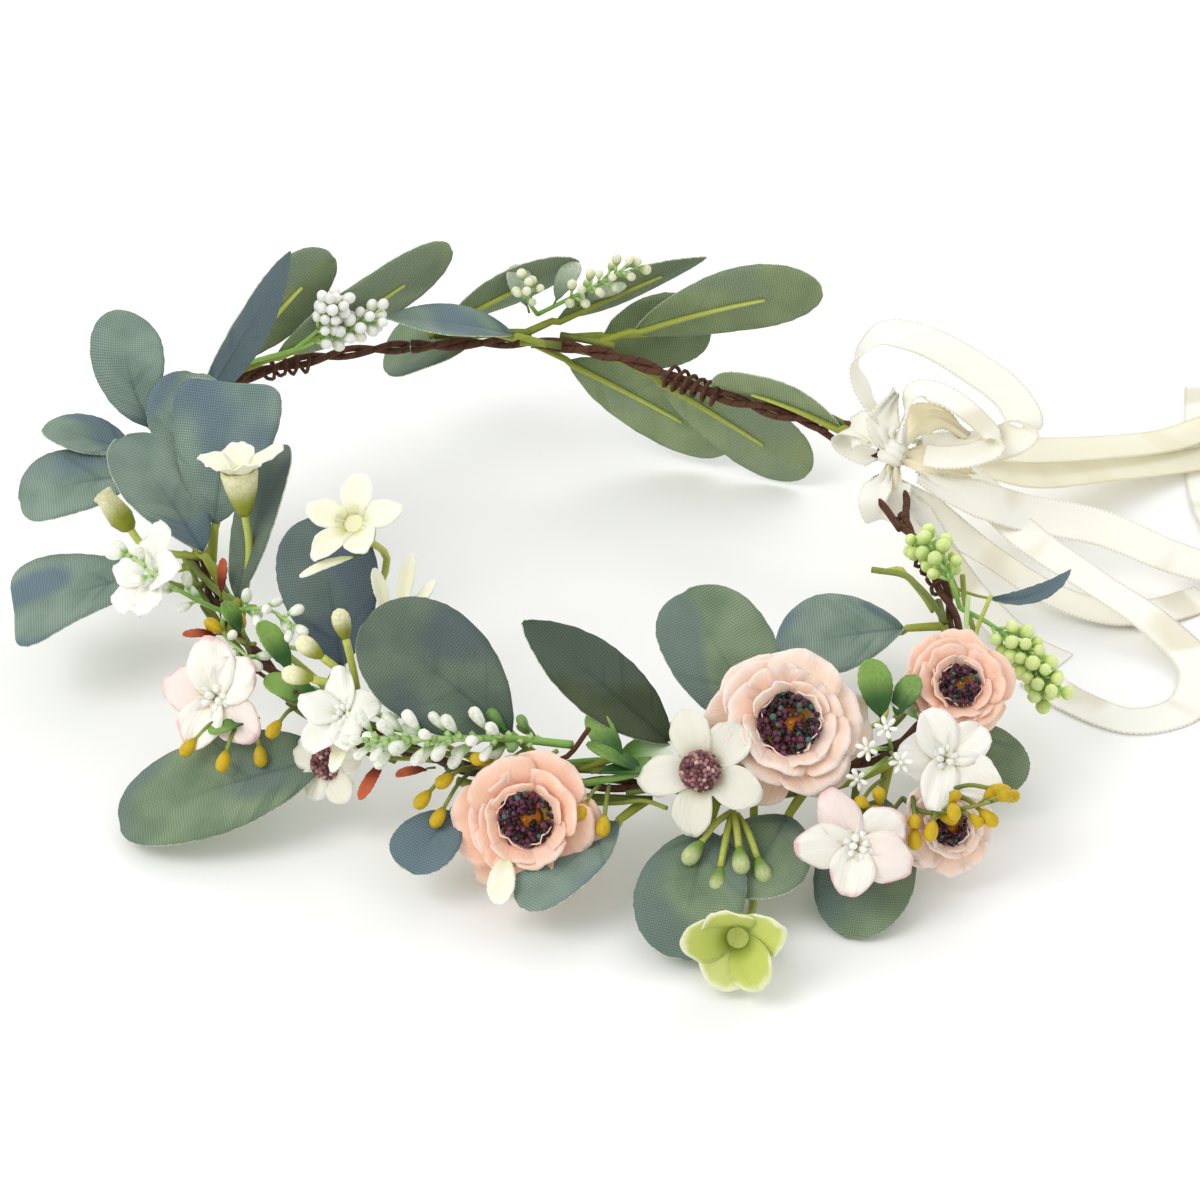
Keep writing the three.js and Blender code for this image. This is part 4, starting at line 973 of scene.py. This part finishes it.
def strand_path(low, high, phase):
    """One wire winding round the band's middle line, the twist now tighter, now looser."""
    usual_radius, pace = 85, 1.6
    steps = int(math.radians(abs(high - low)) * usual_radius / pace)
    angles = np.linspace(low, high, steps + 1)
    middle = np.array([band_point(a) for a in angles])
    far = run(middle)
    loose = 16 * np.sin(far * 0.11) + 9 * np.sin(far * 0.29)
    return [
        beside(a, phase + 360 * d / PITCH + w, STRAND * (1.02 + w / 160))
        for a, d, w in zip(angles, far, loose)
    ]


def add_eyelet(shape, end, heading, rise, roll):
    """A long flat loop of wire at the end of the band or the arm."""
    start = band_point(end)
    forward, side = framed(direction(heading, rise), roll)[:2]
    outline = [(-5, 0.2), (2, 0.6), (8, 1), (12.5, 0.85), (EYELET["long"], 0.25)]
    loop = outline + [(x, -y) for x, y in reversed(outline)]
    path = [start + forward * x + side * y * EYELET["wide"] for x, y in loop]
    shape.rod(smooth(path, 60), EYELET["wire"], "wire", sides=10)


def band(name, low, high, eyelet):
    """The two wires of one body, twisted together, and the eyelet at their end."""
    shape = Shape()
    for phase in (0, 180):
        shape.rod(strand_path(low, high, phase), STRAND, "wire", sides=10)
    add_eyelet(shape, *eyelet)
    return shape.object(name, MATERIALS)


def binding(name, low, high, turns):
    """A thin wire coiled round the band to hold the stems."""
    shape = Shape()
    points_a_turn = 16
    steps = turns * points_a_turn
    path = []
    for i in range(steps + 1):
        uneven = 0.25 * math.sin(i * 0.7) + 0.15 * math.sin(i * 1.9)
        around = 360 * i / points_a_turn
        path.append(beside(low + (high - low) * i / steps, around, BINDING_REACH + uneven))
    shape.rod(path, 0.5, "wire", sides=8)
    return shape.object(name, MATERIALS)


# ---- Ribbon ----


def ribbon_grid(plan):
    """The middle surface of a ribbon, and how far along and across each point lies."""
    rough = smooth(plan["path"], 40)
    long = float(run(rough)[-1])
    rows = int(2 * long / PICOT)
    points = smooth(plan["path"], rows)
    way = forwards(points)
    marks = np.array(plan["across"], float)  # one way for all of it, or ways spread along it
    at = np.linspace(0, len(marks) - 1, rows + 1)
    side = np.stack([np.interp(at, range(len(marks)), marks[:, k]) for k in range(3)], 1)
    side -= way * (side * way).sum(1)[:, None]
    side /= np.linalg.norm(side, axis=1)[:, None]
    top = np.cross(side, way)
    share = np.linspace(0, 1, rows + 1)
    reach = plan.get("reach", 5 / long + 0.06)
    narrow = np.interp(share, [0, reach, 1], [1 - plan.get("fold", 0.62), 1, plan.get("end", 1)])
    half = plan.get("wide", RIBBON_WIDE) / 2 * narrow
    c = np.linspace(-1, 1, RIBBON_COLUMNS)[None]
    picot = 0.16 * np.where(np.arange(rows + 1) % 2, 1, -1)[:, None] * (np.abs(c) > 0.99)
    across = c * half[:, None] + np.sign(c) * picot
    pleats = (1 - narrow)[:, None] * 2.2 * np.cos(c * 7.5)
    belly = 0.35 * np.sin(share * 9)[:, None] * (1 - c**2)
    grid = points[:, None] + side[:, None] * across[..., None] + top[:, None] * (pleats + belly)[..., None]
    grid[..., 2] = np.maximum(grid[..., 2], RIBBON_THICK)
    return grid, share[:, None] * long * np.ones(RIBBON_COLUMNS), across, long


def ribbon(name, plans, look):
    """One or more strips in one piece, and their total length counted at the full ribbon width."""
    shape = Shape()
    total = 0.0
    for plan in plans:
        grid, along, across, long = ribbon_grid(plan)
        shape.sheet(grid, RIBBON_THICK, (look,) * 3, along, across)
        total += long * plan.get("wide", RIBBON_WIDE) / RIBBON_WIDE
    return shape.object(name, MATERIALS), total


def knot(name):
    """Ribbon folded and drawn through itself: flared folds held by one narrow pleated wrap."""
    shape = Shape()
    for plan in KNOT_FOLDS:
        grid, along, across = ribbon_grid(dict(plan, wide=KNOT["fold_wide"]))[:3]
        # the folds' undersides are painted yellower, as if lit through from behind
        shape.sheet(grid, RIBBON_THICK, ("satin", "fold", "satin"), along, across)
    forward, side, top = framed(unit(np.array(KNOT["way"])))
    turn = np.radians(np.linspace(0, 350, 48))[:, None]
    c = np.linspace(-1, 1, 13)[None]
    reach = KNOT["radius"] * (1 - 0.22 * c**2) + 0.3 * np.cos(c * 11) + 0.25 * np.sin(3 * turn)
    grid = (
        np.array(KNOT["centre"])
        + forward * (c * KNOT["wide"] / 2 + 0.5 * np.sin(2 * turn))[..., None]
        + side * (reach * np.cos(turn))[..., None]
        + top * (0.8 * reach * np.sin(turn))[..., None]
    )
    shape.sheet(grid, 0.4, ("satin",) * 3, turn * KNOT["radius"] + 0 * c, c * KNOT["wide"] / 2 + 0 * turn)
    return shape.object(name, MATERIALS)


# ---- What is planted where ----


def planted(at, heading, rise, long, wide, **more):
    """A leaf from that angle round the band, with the way it points and its length and width."""
    return dict(at=at, heading=heading, rise=rise, long=long, wide=wide, **more)


EYELETS = {"upper": (UPPER_END, -35, -4, 90), "lower": (LOWER_END, 100, 6, 15)}

SPRAYS = {
    "leaves_back_left": dict(look="sage", span=(151, 139), around=95, leaves=[
        planted(150, 38, 34, 46, 20, roll=-90),
        planted(143, 24, 21, 61, 18, roll=-80, bend=-25)]),
    "leaves_left_rear": dict(look="blue", span=(165, 155), around=60, leaves=[
        planted(164, 114, 42, 41, 18, bend=35, sweep=-70),
        planted(161, 54, 36, 56, 13, roll=84, shape="narrow", sweep=-15)]),
    "leaves_left_upper": dict(look="blue", span=(174, 164), around=30, leaves=[
        planted(168, 192, -4, 38, 22, roll=-15, bend=55),
        planted(166, 168, 14, 33, 15),
        planted(172, 80, 40, 32, 20, roll=10, shape="round")]),
    "leaves_left_front": dict(look="blue", span=(198, 185), around=130, leaves=[
        planted(188, 80, 50, 43, 26, shape="square"),
        planted(194, 135, 36, 43, 23, roll=10)]),
    "leaves_left_outer": dict(look="blue", span=(207, 184), around=20, leaves=[
        planted(187, 188, -14, 43, 27, roll=-8, shape="square"),
        planted(205, 68, 46, 47, 16, roll=-28, look="dark")]),
    "leaf_left_tall": dict(look="slate", span=(232, 224), around=150, leaves=[
        planted(230, 103, 40, 45, 23)]),
    "leaf_front_broad": dict(look="dark", span=(272, 266), around=95, leaves=[
        planted(268, 163, 37, 53, 27, roll=-35, stalk=12)]),
    "leaf_front_low": dict(look="sage", span=(242, 230), around=-60, leaves=[
        planted(237, 188, -15, 59, 26, roll=-18, shape="round")]),
    "leaves_front_inner": dict(look="deep", span=(294, 271), around=140, leaves=[
        planted(291, 151, 29, 52, 17, roll=-20, shape="narrow"),
        planted(272, 8, 8, 38, 11, roll=15, shape="narrow",
             looks=("variegated",) * 3)]),
    "leaf_front_round": dict(look="sage", span=(306, 298), around=120, leaves=[
        planted(303, 126, 32, 46, 26, roll=-10, shape="round")]),
    "leaf_right": dict(look="blue", span=(349, 340), around=150, leaves=[
        planted(344, 178, -12, 40, 25, roll=-12)]),
    "leaves_front_fan": dict(look="sage", span=(309, 291), around=-40, leaves=[
        planted(293, 257, -17, 42, 24, bend=25, shape="round"),
        planted(305, 244, -10, 34, 22)]),
    "leaves_right_fan": dict(look="sage", span=(337, 315), around=-60, leaves=[
        planted(317, 257, -18, 46, 22, bend=10),
        planted(334, 286, -22, 29, 18, roll=10)]),
    "leaves_front_under": dict(look="blue", span=(284, 253), around=-50, leaves=[
        planted(283, 228, -10, 40, 17, roll=5),
        planted(256, 238, -14, 27, 16)]),
    "blade_curled": dict(look="blue", span=(353, 349), around=60, leaves=[
        planted(351, 15, 0, 32, 4, roll=40, sweep=80, shape="narrow", petiole=0.5)]),
}
ARM_SPRAYS = {
    "leaf_back_low": dict(look="blue", span=(91, 99), around=150, leaves=[
        planted(94, 193, 17, 43, 16, shape="narrow")]),
    "leaves_back_high": dict(look="sage", span=(114, 97), around=20, leaves=[
        planted(115, 22, 16, 44, 15, roll=-68, stalk=4),
        planted(98, 14, 18, 51, 13, roll=-65, sweep=-25, shape="narrow"),
        planted(101, 166, -20, 36, 21, roll=-20, shape="round")]),
    "leaves_back_wide": dict(look="sage", span=(92, 82), around=20, leaves=[
        planted(85, 5, 12, 59, 21, roll=-80),
        planted(90, 15, -8, 38, 22, roll=-92, shape="round")]),
    "leaves_back_hanging": dict(look="sage", span=(97, 75), around=-40, leaves=[
        planted(96, -5, -30, 58, 20, roll=-92, bend=10),
        planted(79, -9, -32, 56, 21, roll=-84, bend=10)]),
    "leaf_by_bow": dict(look="sage", span=(30, 44), around=90, leaves=[
        planted(30, 153, 5, 40, 17, roll=60, stalk=4)]),
}

PEACH = {
    "peach_flower_large": dict(
        look="peach", at=306, around=80, head=(49, -78, 34), faces=(283, 48), size=18),
    "peach_flower_front": dict(
        look="coral", at=268, around=10, head=(-8, -92, 19), faces=(262, 35), size=16),
    "peach_flower_right": dict(
        look="coral", at=340, around=60, head=(87.5, -62.5, 33), faces=(285, 55), size=13),
    "peach_flower_side": dict(
        look="peach", at=326, around=-5, head=(84, -90.5, 15.5), faces=(290, 35), size=11),
}
DAISY = dict(at=293, around=40, head=(30, -88, 29), faces=(245, 40), size=13)
SMALL_DAISY = dict(at=230, around=30, head=(-52, -72, 19), faces=(235, 25), size=10)
BLOSSOMS = {
    "blossom_left": dict(
        look="blush", at=213, around=20, head=(-78, -57, 26), faces=(255, 40), size=13),
    "blossom_front": dict(
        look="blush", at=312, around=0, head=(63, -100, 18), faces=(275, 40), size=12),
    "blossom_right": dict(
        look="cream", at=322, around=40, head=(83, -80, 26), faces=(280, 45), size=12),
    "blossom_upper_left": dict(
        look="cream", at=222, around=70, head=(-48, -73, 33), faces=(240, 45), size=10),
    "blossom_far_left": dict(
        look="cream", at=193, around=60, head=(-93, -32, 41), faces=(215, 40), size=12),
}
BELLS = {
    "bell_tall": dict(look="bell", at=226, around=100, head=(-47, -39, 61), faces=(240, 55), size=11,
                      open=14, curl=-30),
    "bell_side": dict(look="bell", at=204, around=100, head=(-74, -20, 62), faces=(110, 75), size=11,
                      open=38, curl=-22),
    "bell_lime": dict(look="lime_bell", at=298, around=-10, head=(37, -121, 10), faces=(258, 20), size=12,
                      open=42, curl=-30, lobe=0.92),
}
BUD = dict(at=187, around=90, head=(-106, 0, 38), faces=(140, 35), size=6)

SPRIGS = {
    "heather_sprig": dict(
        look="bud", early_look="green_bud", early=0.3, stem_look="pale_stem",
        wide=1.35, long=6.4, stem=0.95, lean=0.8, tip=0.7, stalk=2,
        twigs=[dict(path=[(2, -76, 27), (-12, -79, 31), (-28, -83, 34), (-42, -86, 36)], beads=34)]),
    "bud_sprig": dict(look="bud", stem_look="pale_stem", wide=1.2, long=4.6, stalk=1.8, twigs=[
        dict(path=[(-78, -34, 33), (-84, -36, 38), (-92, -36, 44), (-99, -32, 48)], beads=10),
        dict(path=[(-78, -34, 33), (-73, -40, 38), (-66, -46, 42), (-60, -52, 42)], beads=9),
        dict(path=[(-78, -34, 33), (-77, -44, 34), (-70, -54, 34)], beads=5)]),
    "berry_sprig": dict(look="berry", stem_look="stem", wide=1.5, long=4.8, stalk=2.2, tip=0.5, twigs=[
        dict(path=[(74, -86, 20), (78, -92, 21), (88, -94, 24), (94, -94, 26)], beads=6),
        dict(path=[(74, -86, 20), (70, -92, 20), (66, -94, 24)], beads=4)]),
    "lime_clusters": dict(
        look="lime", stem_look="pale_stem", wide=1.7, long=3.2, stalk=3.4, tip=0.0, twigs=[
            dict(path=[(91, -28, 30), (89, -27, 36), (86, -20, 39), (83, -15, 39)], beads=20, bare=0.3),
            dict(path=[(91, -28, 30), (98, -32, 28), (105, -38, 25), (110, -46, 20)], beads=34, bare=0.3)]),
    "white_cluster": dict(
        look="tuft", stem_look="pale_stem", wide=1.4, long=3.2, stalk=2.8, tip=0.0, twigs=[
            dict(path=[(-79, 57, 45), (-68, 60, 47), (-58, 62.5, 50), (-48, 65.5, 53)], beads=24, bare=0.5),
            dict(path=[(-68, 60, 47), (-61, 61.5, 53), (-58, 62, 59)], beads=20, bare=0.4)]),
}
ARM_SPRIGS = {
    "seed_cluster": dict(look="seeds", stem_look="pale_stem", wide=1.2, long=3.2, stalk=2.4, twigs=[
        dict(path=[(-8, 84, 43), (-2, 83, 47), (7, 80, 54), (16, 78, 61)], beads=20, bare=0.25),
        dict(path=[(-8, 84, 43), (-10, 80, 49), (-10, 76, 56)], beads=7, bare=0.5)]),
}

RIBBONS = {
    "ribbon_lower_wrap": [dict(
        path=[(78, 28, 31), (76, 23, 31), (74, 18, 29), (76, 17, 25), (79, 21, 26), (81, 27, 29)],
        across=[(1, 0, 0), (1, 0, 0)], wide=7)],
    "ribbon_back_loop": [dict(
        path=[(78, 36, 38), (73, 40, 45), (71, 46, 52), (77, 50, 57), (86, 50, 56), (99, 47, 50),
              (109, 42, 44), (112, 36, 39), (105, 33, 36), (95, 33, 35), (87, 33, 35)],
        across=[(0, 1, 0.2), (0.3, 1, 0.1), (0.2, 0.9, 0.5), (0.3, 0.8, 0.5), (0, 1, 0.2)])],
    "ribbon_inner_loop": [dict(
        path=[(81, 29, 39), (82, 31, 45), (85, 36, 49), (91, 37, 48), (100, 33, 43), (104, 29, 39),
              (99, 27, 37), (92, 27, 36), (87, 28, 36)],
        across=[(0.3, 1, 0), (0, 1, 0.3), (0, 1, 0.2)], wide=8)],
    "ribbon_front_strip": [dict(
        path=[(86, 27, 31), (93, 24, 29), (103, 24, 25), (112, 27, 20), (132, 29, 14), (150, 25, 8),
              (162, 28, 3), (166, 40, FLAT), (165, 62, FLAT), (168, 92, FLAT), (172, 118, FLAT)],
        across=[(0.1, 0.8, 0.6), (0.1, 0.8, 0.6), (0, 0.9, 0.45), (-0.6, 0.8, 0.2), (-1, 0, 0),
                (-1, 0, 0)])],
    "ribbon_side_loop": [dict(
        path=[(86, 33, 29), (98, 37, 25), (112, 22, 17), (128, 12, 10), (143, 0, 5), (151, -14, 2),
              (146, -27, FLAT), (133, -32, FLAT), (120, -24, FLAT), (112, -14, FLAT)],
        across=[(0, 1, 0), (0.6, 0.8, 0.2), (0.6, 0.8, 0), (1, 0.3, 0), (-0.2, -1, 0),
                (-0.6, -0.6, 0)])],
    "ribbon_wide_tail": [
        dict(path=[(81, 27, 28), (87, 20, 20), (95, 12, 11), (104, 4, 4), (112, -3, FLAT),
                   (119, -9, FLAT)],
             across=[(0.7, 0.6, 0.3), (0.7, 0.6, 0), (0.6, 0.8, 0)]),
        dict(path=[(81, 27, 28), (90, 24, 21), (103, 21, 12), (118, 14, 5), (132, 10, 2), (145, 12, 1),
                   (158, 19, FLAT)],
             across=[(0.7, 0.6, 0.3), (0.3, 0.9, 0), (0.3, 0.9, 0), (-0.3, 0.9, 0)])],
    "ribbon_sheer_tail": [
        dict(path=[(86, 37, 33), (98, 45, 28), (115, 54, 21), (138, 71, 11), (158, 86, 4),
                   (172, 96, 2.5), (186, 102, FLAT)],
             across=[(0, 1, 0.3), (0, 1, 0), (-0.3, 1, 0), (-0.5, 0.8, 0)]),
        dict(path=[(86, 37, 33), (97, 42, 27), (113, 46, 19), (137, 63, 9), (164, 80, 1.5),
                   (180, 88, FLAT)],
             across=[(0, 1, 0.3), (0, 1, 0), (-0.4, 0.9, 0), (-0.5, 0.8, 0)])],
}
KNOT = {"centre": (80, 33, 34), "way": (0.35, 0.2, 1), "radius": 3.6, "wide": 6.5, "fold_wide": 9}
KNOT_FOLDS = [
    dict(path=[(80, 33, 33), (77, 36, 37), (73, 39, 37), (70, 41, 34)],
         across=[(0.3, 0.5, 0.8)], fold=0.7, reach=0.5),
    dict(path=[(79, 33, 35), (77, 34, 39), (78, 36, 44), (80, 37, 49)],
         across=[(1, 0.1, -0.1)], fold=0.7, reach=0.45, end=0.12),
    dict(path=[(81, 33, 36), (86, 36, 41), (92, 37, 41), (98, 35, 37)],
         across=[(0, 0.8, 0.6)], fold=0.6, reach=0.4, end=0.15),
    dict(path=[(80, 32, 32), (79, 28, 30), (78, 25, 28), (77, 22, 25)],
         across=[(1, 0.2, 0.2)], fold=0.7, reach=0.8),
    dict(path=[(81, 32, 33), (86, 30, 34), (92, 30, 32), (99, 32, 28)],
         across=[(0.1, 0.8, 0.6)], fold=0.7, reach=0.4, end=0.6),
]
TIE = [dict(
    path=[(76, 37, 35), (73, 40, 35.5), (69, 43, 34.5), (67.5, 44, 32), (69, 43, 29.5), (73, 40, 28.5),
          (76, 37, 29)],
    across=[(0.6, 0.8, 0), (0.6, 0.8, 0)], wide=8, fold=0.15)]

FRONT = (190, 350)  # the stretch of the band that the small greenery covers
BUD_GROUPS = {
    "mustard_buds_left": dict(look="berry", stem_look="stem", wide=1.6, stalks=[
        ((-71, -48, 31), (-73, -42, 34)), ((-72, -49, 32), (-77, -46, 36)),
        ((-76, -62, 24), (-82, -66, 21)), ((-73, -64, 23), (-75, -69, 20)),
        ((-69, -62, 24), (-68, -67, 20)), ((-60, -61, 26), (-63, -66, 26))]),
    "mustard_buds_front": dict(look="berry", stem_look="stem", wide=1.6, stalks=[
        ((-22, -79, 24), (-29, -86, 22)), ((-20, -80, 23), (-26, -88, 19)),
        ((-20, -80, 24), (-24, -84, 25)), ((-12, -81, 24), (-16, -83, 28)),
        ((8, -84, 22), (5, -90, 22)), ((10, -84, 22), (9, -92, 20))]),
    "mustard_buds_right": dict(look="berry", stem_look="stem", wide=1.6, stalks=[
        ((70, -84, 24), (64, -91, 22)), ((76, -88, 22), (76, -95, 19)), ((84, -88, 24), (92, -90, 26)),
        ((85, -89, 23), (90, -94, 23)), ((84, -89, 24), (84, -94, 25)),
        ((82, -88, 22), (80, -95, 21))]),
    "green_buds_hanging": dict(look="pale_bud", stem_look="stalk", wide=2.0, stem=0.8, stalks=[
        ((37, -88, 18), (30, -96, 16)), ((37, -88, 18), (34, -101, 13)),
        ((38, -88, 17), (42, -99, 14)), ((37, -88, 18), (38, -98, 16))]),
    "cream_buds_left": dict(look="bell", stem_look="stalk", wide=2.2, stem=0.9, stalks=[
        ((-45, -67, 30), (-48, -60, 44)), ((-46, -66, 34), (-53, -64, 42)),
        ((-45, -67, 32), (-55, -68, 39))]),
}

def blade(start, heading, rise, long, wide, **more):
    return dict(start=start, heading=heading, rise=rise, long=long, wide=wide, **more)


SMALL_BLADES = {
    "fresh_leaves": dict(look="fresh", leaves=[
        blade((-72, -46, 34), 150, 55, 10, 5),
        blade((-60, -58, 32), 135, 40, 15, 6),
        blade((-52, -61, 27), 170, 18, 16, 6, roll=-30),
        blade((-68, -62, 24), 200, -5, 12, 5),
        blade((70, -73, 30), 110, 55, 15, 8),
        blade((72, -72, 30), 50, 40, 12, 6),
        blade((14, -80, 24), 130, 30, 15, 6, roll=-40),
        blade((20, -82, 22), 160, 20, 17, 5),
        blade((6, -82, 24), 10, -4, 20, 6),
        blade((80, -70, 28), 150, 30, 13, 7, look="variegated"),
        blade((-32, -72, 26), 215, 10, 14, 5, look="variegated")]),
    "russet_blades": dict(look="russet", leaves=[
        blade((-79, -31, 34), 80, 62, 10, 2.4),
        blade((-77, -44, 34), 205, 15, 10, 3.2),
        blade((-39, -76, 24), 250, -5, 15, 3),
        blade((-31, -76, 26), 10, 12, 10, 3),
        blade((-28, -80, 24), 195, -4, 9, 3)]),
    "cream_sepals": dict(look="bell_lobe", leaves=[
        blade((-45, -44, 56), 205, -8, 15, 3),
        blade((-37, -50, 40), 70, 58, 17, 3.6),
        blade((-36, -50, 40), 40, 42, 13, 3),
        blade((-39, -50, 40), 120, 60, 14, 3.4),
        blade((-44, -66, 32), 250, -20, 20, 4),
        blade((-12, -96, 14), 262, -20, 14, 6)]),
    "silver_leaves": dict(look="silver", leaves=[
        blade((-10, 83, 44), 120, 50, 13, 7),
        blade((-4, 83, 46), 60, 30, 14, 6),
        blade((2, 83, 46), 20, 15, 14, 6)]),
}
FLORETS = [
    ((71, -76, 26), (66, -84, 32)), ((72, -76, 26), (70, -82, 36)), ((71, -78, 25), (64, -88, 27)),
    ((72, -76, 25), (73, -86, 30)),
]


# ---- Camera, floor and light ----


def row_frame(x, y, z):
    return ((x - CENTRE[0]) * MM, (y - CENTRE[1]) * MM, z * MM)


def add_camera():
    """A 100 mm lens, 35 degrees above the table, square to the crown's front."""
    target = np.array(row_frame(8, -22, 28))
    distance, elevation = 0.775, math.radians(35)
    data = bpy.data.cameras.new("camera")
    data.lens, data.sensor_width = 100, 36
    camera = bpy.data.objects.new("camera", data)
    bpy.context.scene.collection.objects.link(camera)
    camera.location = target + distance * np.array([0, -math.cos(elevation), math.sin(elevation)])
    camera.rotation_euler = (math.pi / 2 - elevation, 0, 0)
    bpy.context.scene.camera = camera


def add_floor():
    bpy.ops.mesh.primitive_plane_add(size=8, location=(0, 0, -0.0002))
    floor = bpy.context.object
    floor.name = "floor"
    f = Finish("floor_white", 0.9)
    f.colour((252, 252, 251))
    floor.data.materials.append(f.material)


def add_light(name, place, size, power):
    data = bpy.data.lights.new(name, "AREA")
    data.energy, data.size = power, size
    lamp = bpy.data.objects.new(name, data)
    bpy.context.scene.collection.objects.link(lamp)
    lamp.location = place
    way = np.array((0, 0, 0.02)) - np.array(place)
    lamp.rotation_mode = "QUATERNION"
    lamp.rotation_quaternion = Vector(way).to_track_quat("-Z", "Y")


def add_world(strength):
    world = bpy.data.worlds.new("white_room")
    world.use_nodes = True
    back = world.node_tree.nodes["Background"]
    back.inputs["Color"].default_value = (1, 1, 1, 1)
    back.inputs["Strength"].default_value = strength
    bpy.context.scene.world = world


add_camera()
add_floor()
add_world(0.82)
add_light("softbox_left", (-0.9, -0.5, 1.1), 0.8, 8)
add_light("softbox_back", (0.5, 0.9, 0.9), 0.9, 4)
bpy.context.scene.view_settings.view_transform = "Standard"


# ---- Making the crown ----


def settle(piece, body, node):
    """Fixes a piece to its body, in place of the plain part of that name."""
    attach(piece, body)
    if node:
        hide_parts(node)


lower_wires = band("band_wires", HINGE_AT + 0.2, 360 + LOWER_END, EYELETS["lower"])
settle(lower_wires, "band", "band_wire")
upper_wires = band("back_arm_wires", UPPER_END, HINGE_AT - 0.2, EYELETS["upper"])
settle(upper_wires, "back_arm", "back_arm_wire")
settle(binding("binding_left", 133, 140, 4), "band", "binding_wire_left")
settle(binding("binding_right", 352, 360, 4), "band", "binding_wire_right")
settle(binding("binding_back", 57, 70, 6), "back_arm", "binding_wire_back")

for body, plans in (("band", SPRAYS), ("back_arm", ARM_SPRAYS)):
    for name, plan in plans.items():
        settle(spray(name + "_cloth", plan), body, name)

for name, flower in PEACH.items():
    settle(peach_flower(name + "_cloth", flower), "band", name + "_petals")
    settle(peach_centre(name + "_beads", flower), "band", name + "_centre")
settle(daisy_petals("daisy_cloth", DAISY), "band", "daisy_petals")
settle(daisy_centre("daisy_grains", DAISY), "band", "daisy_centre")
settle(small_daisy("daisy_small_cloth", SMALL_DAISY), "band", "daisy_small")
for name, flower in BLOSSOMS.items():
    settle(blossom(name + "_cloth", flower), "band", name)
for name, flower in BELLS.items():
    settle(bell(name + "_cloth", flower), "band", name)
settle(bud("bell_bud_cup", BUD), "band", "bell_bud")

for body, plans in (("band", SPRIGS), ("back_arm", ARM_SPRIGS)):
    for name, plan in plans.items():
        settle(sprig(name + "_buds", plan), body, name)

for name, plan in BUD_GROUPS.items():
    settle(buds(name, plan), "band", None)
for name, plans in SMALL_BLADES.items():
    settle(blades(name, plans), "back_arm" if name == "silver_leaves" else "band", None)
settle(florets("white_florets", FLORETS), "band", None)
settle(tangle("bound_stems"), "band", None)

settle(knot("bow_knot"), "band", "ribbon_knot")
for name, plans in RIBBONS.items():
    look = "sheer" if name == "ribbon_sheer_tail" else "satin"
    piece, long = ribbon(name.replace("ribbon", "bow"), plans, look)
    settle(piece, "band", name)
tie, long = ribbon("bow_tie", TIE, "satin")
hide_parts("ribbon_tie")
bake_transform(tie)
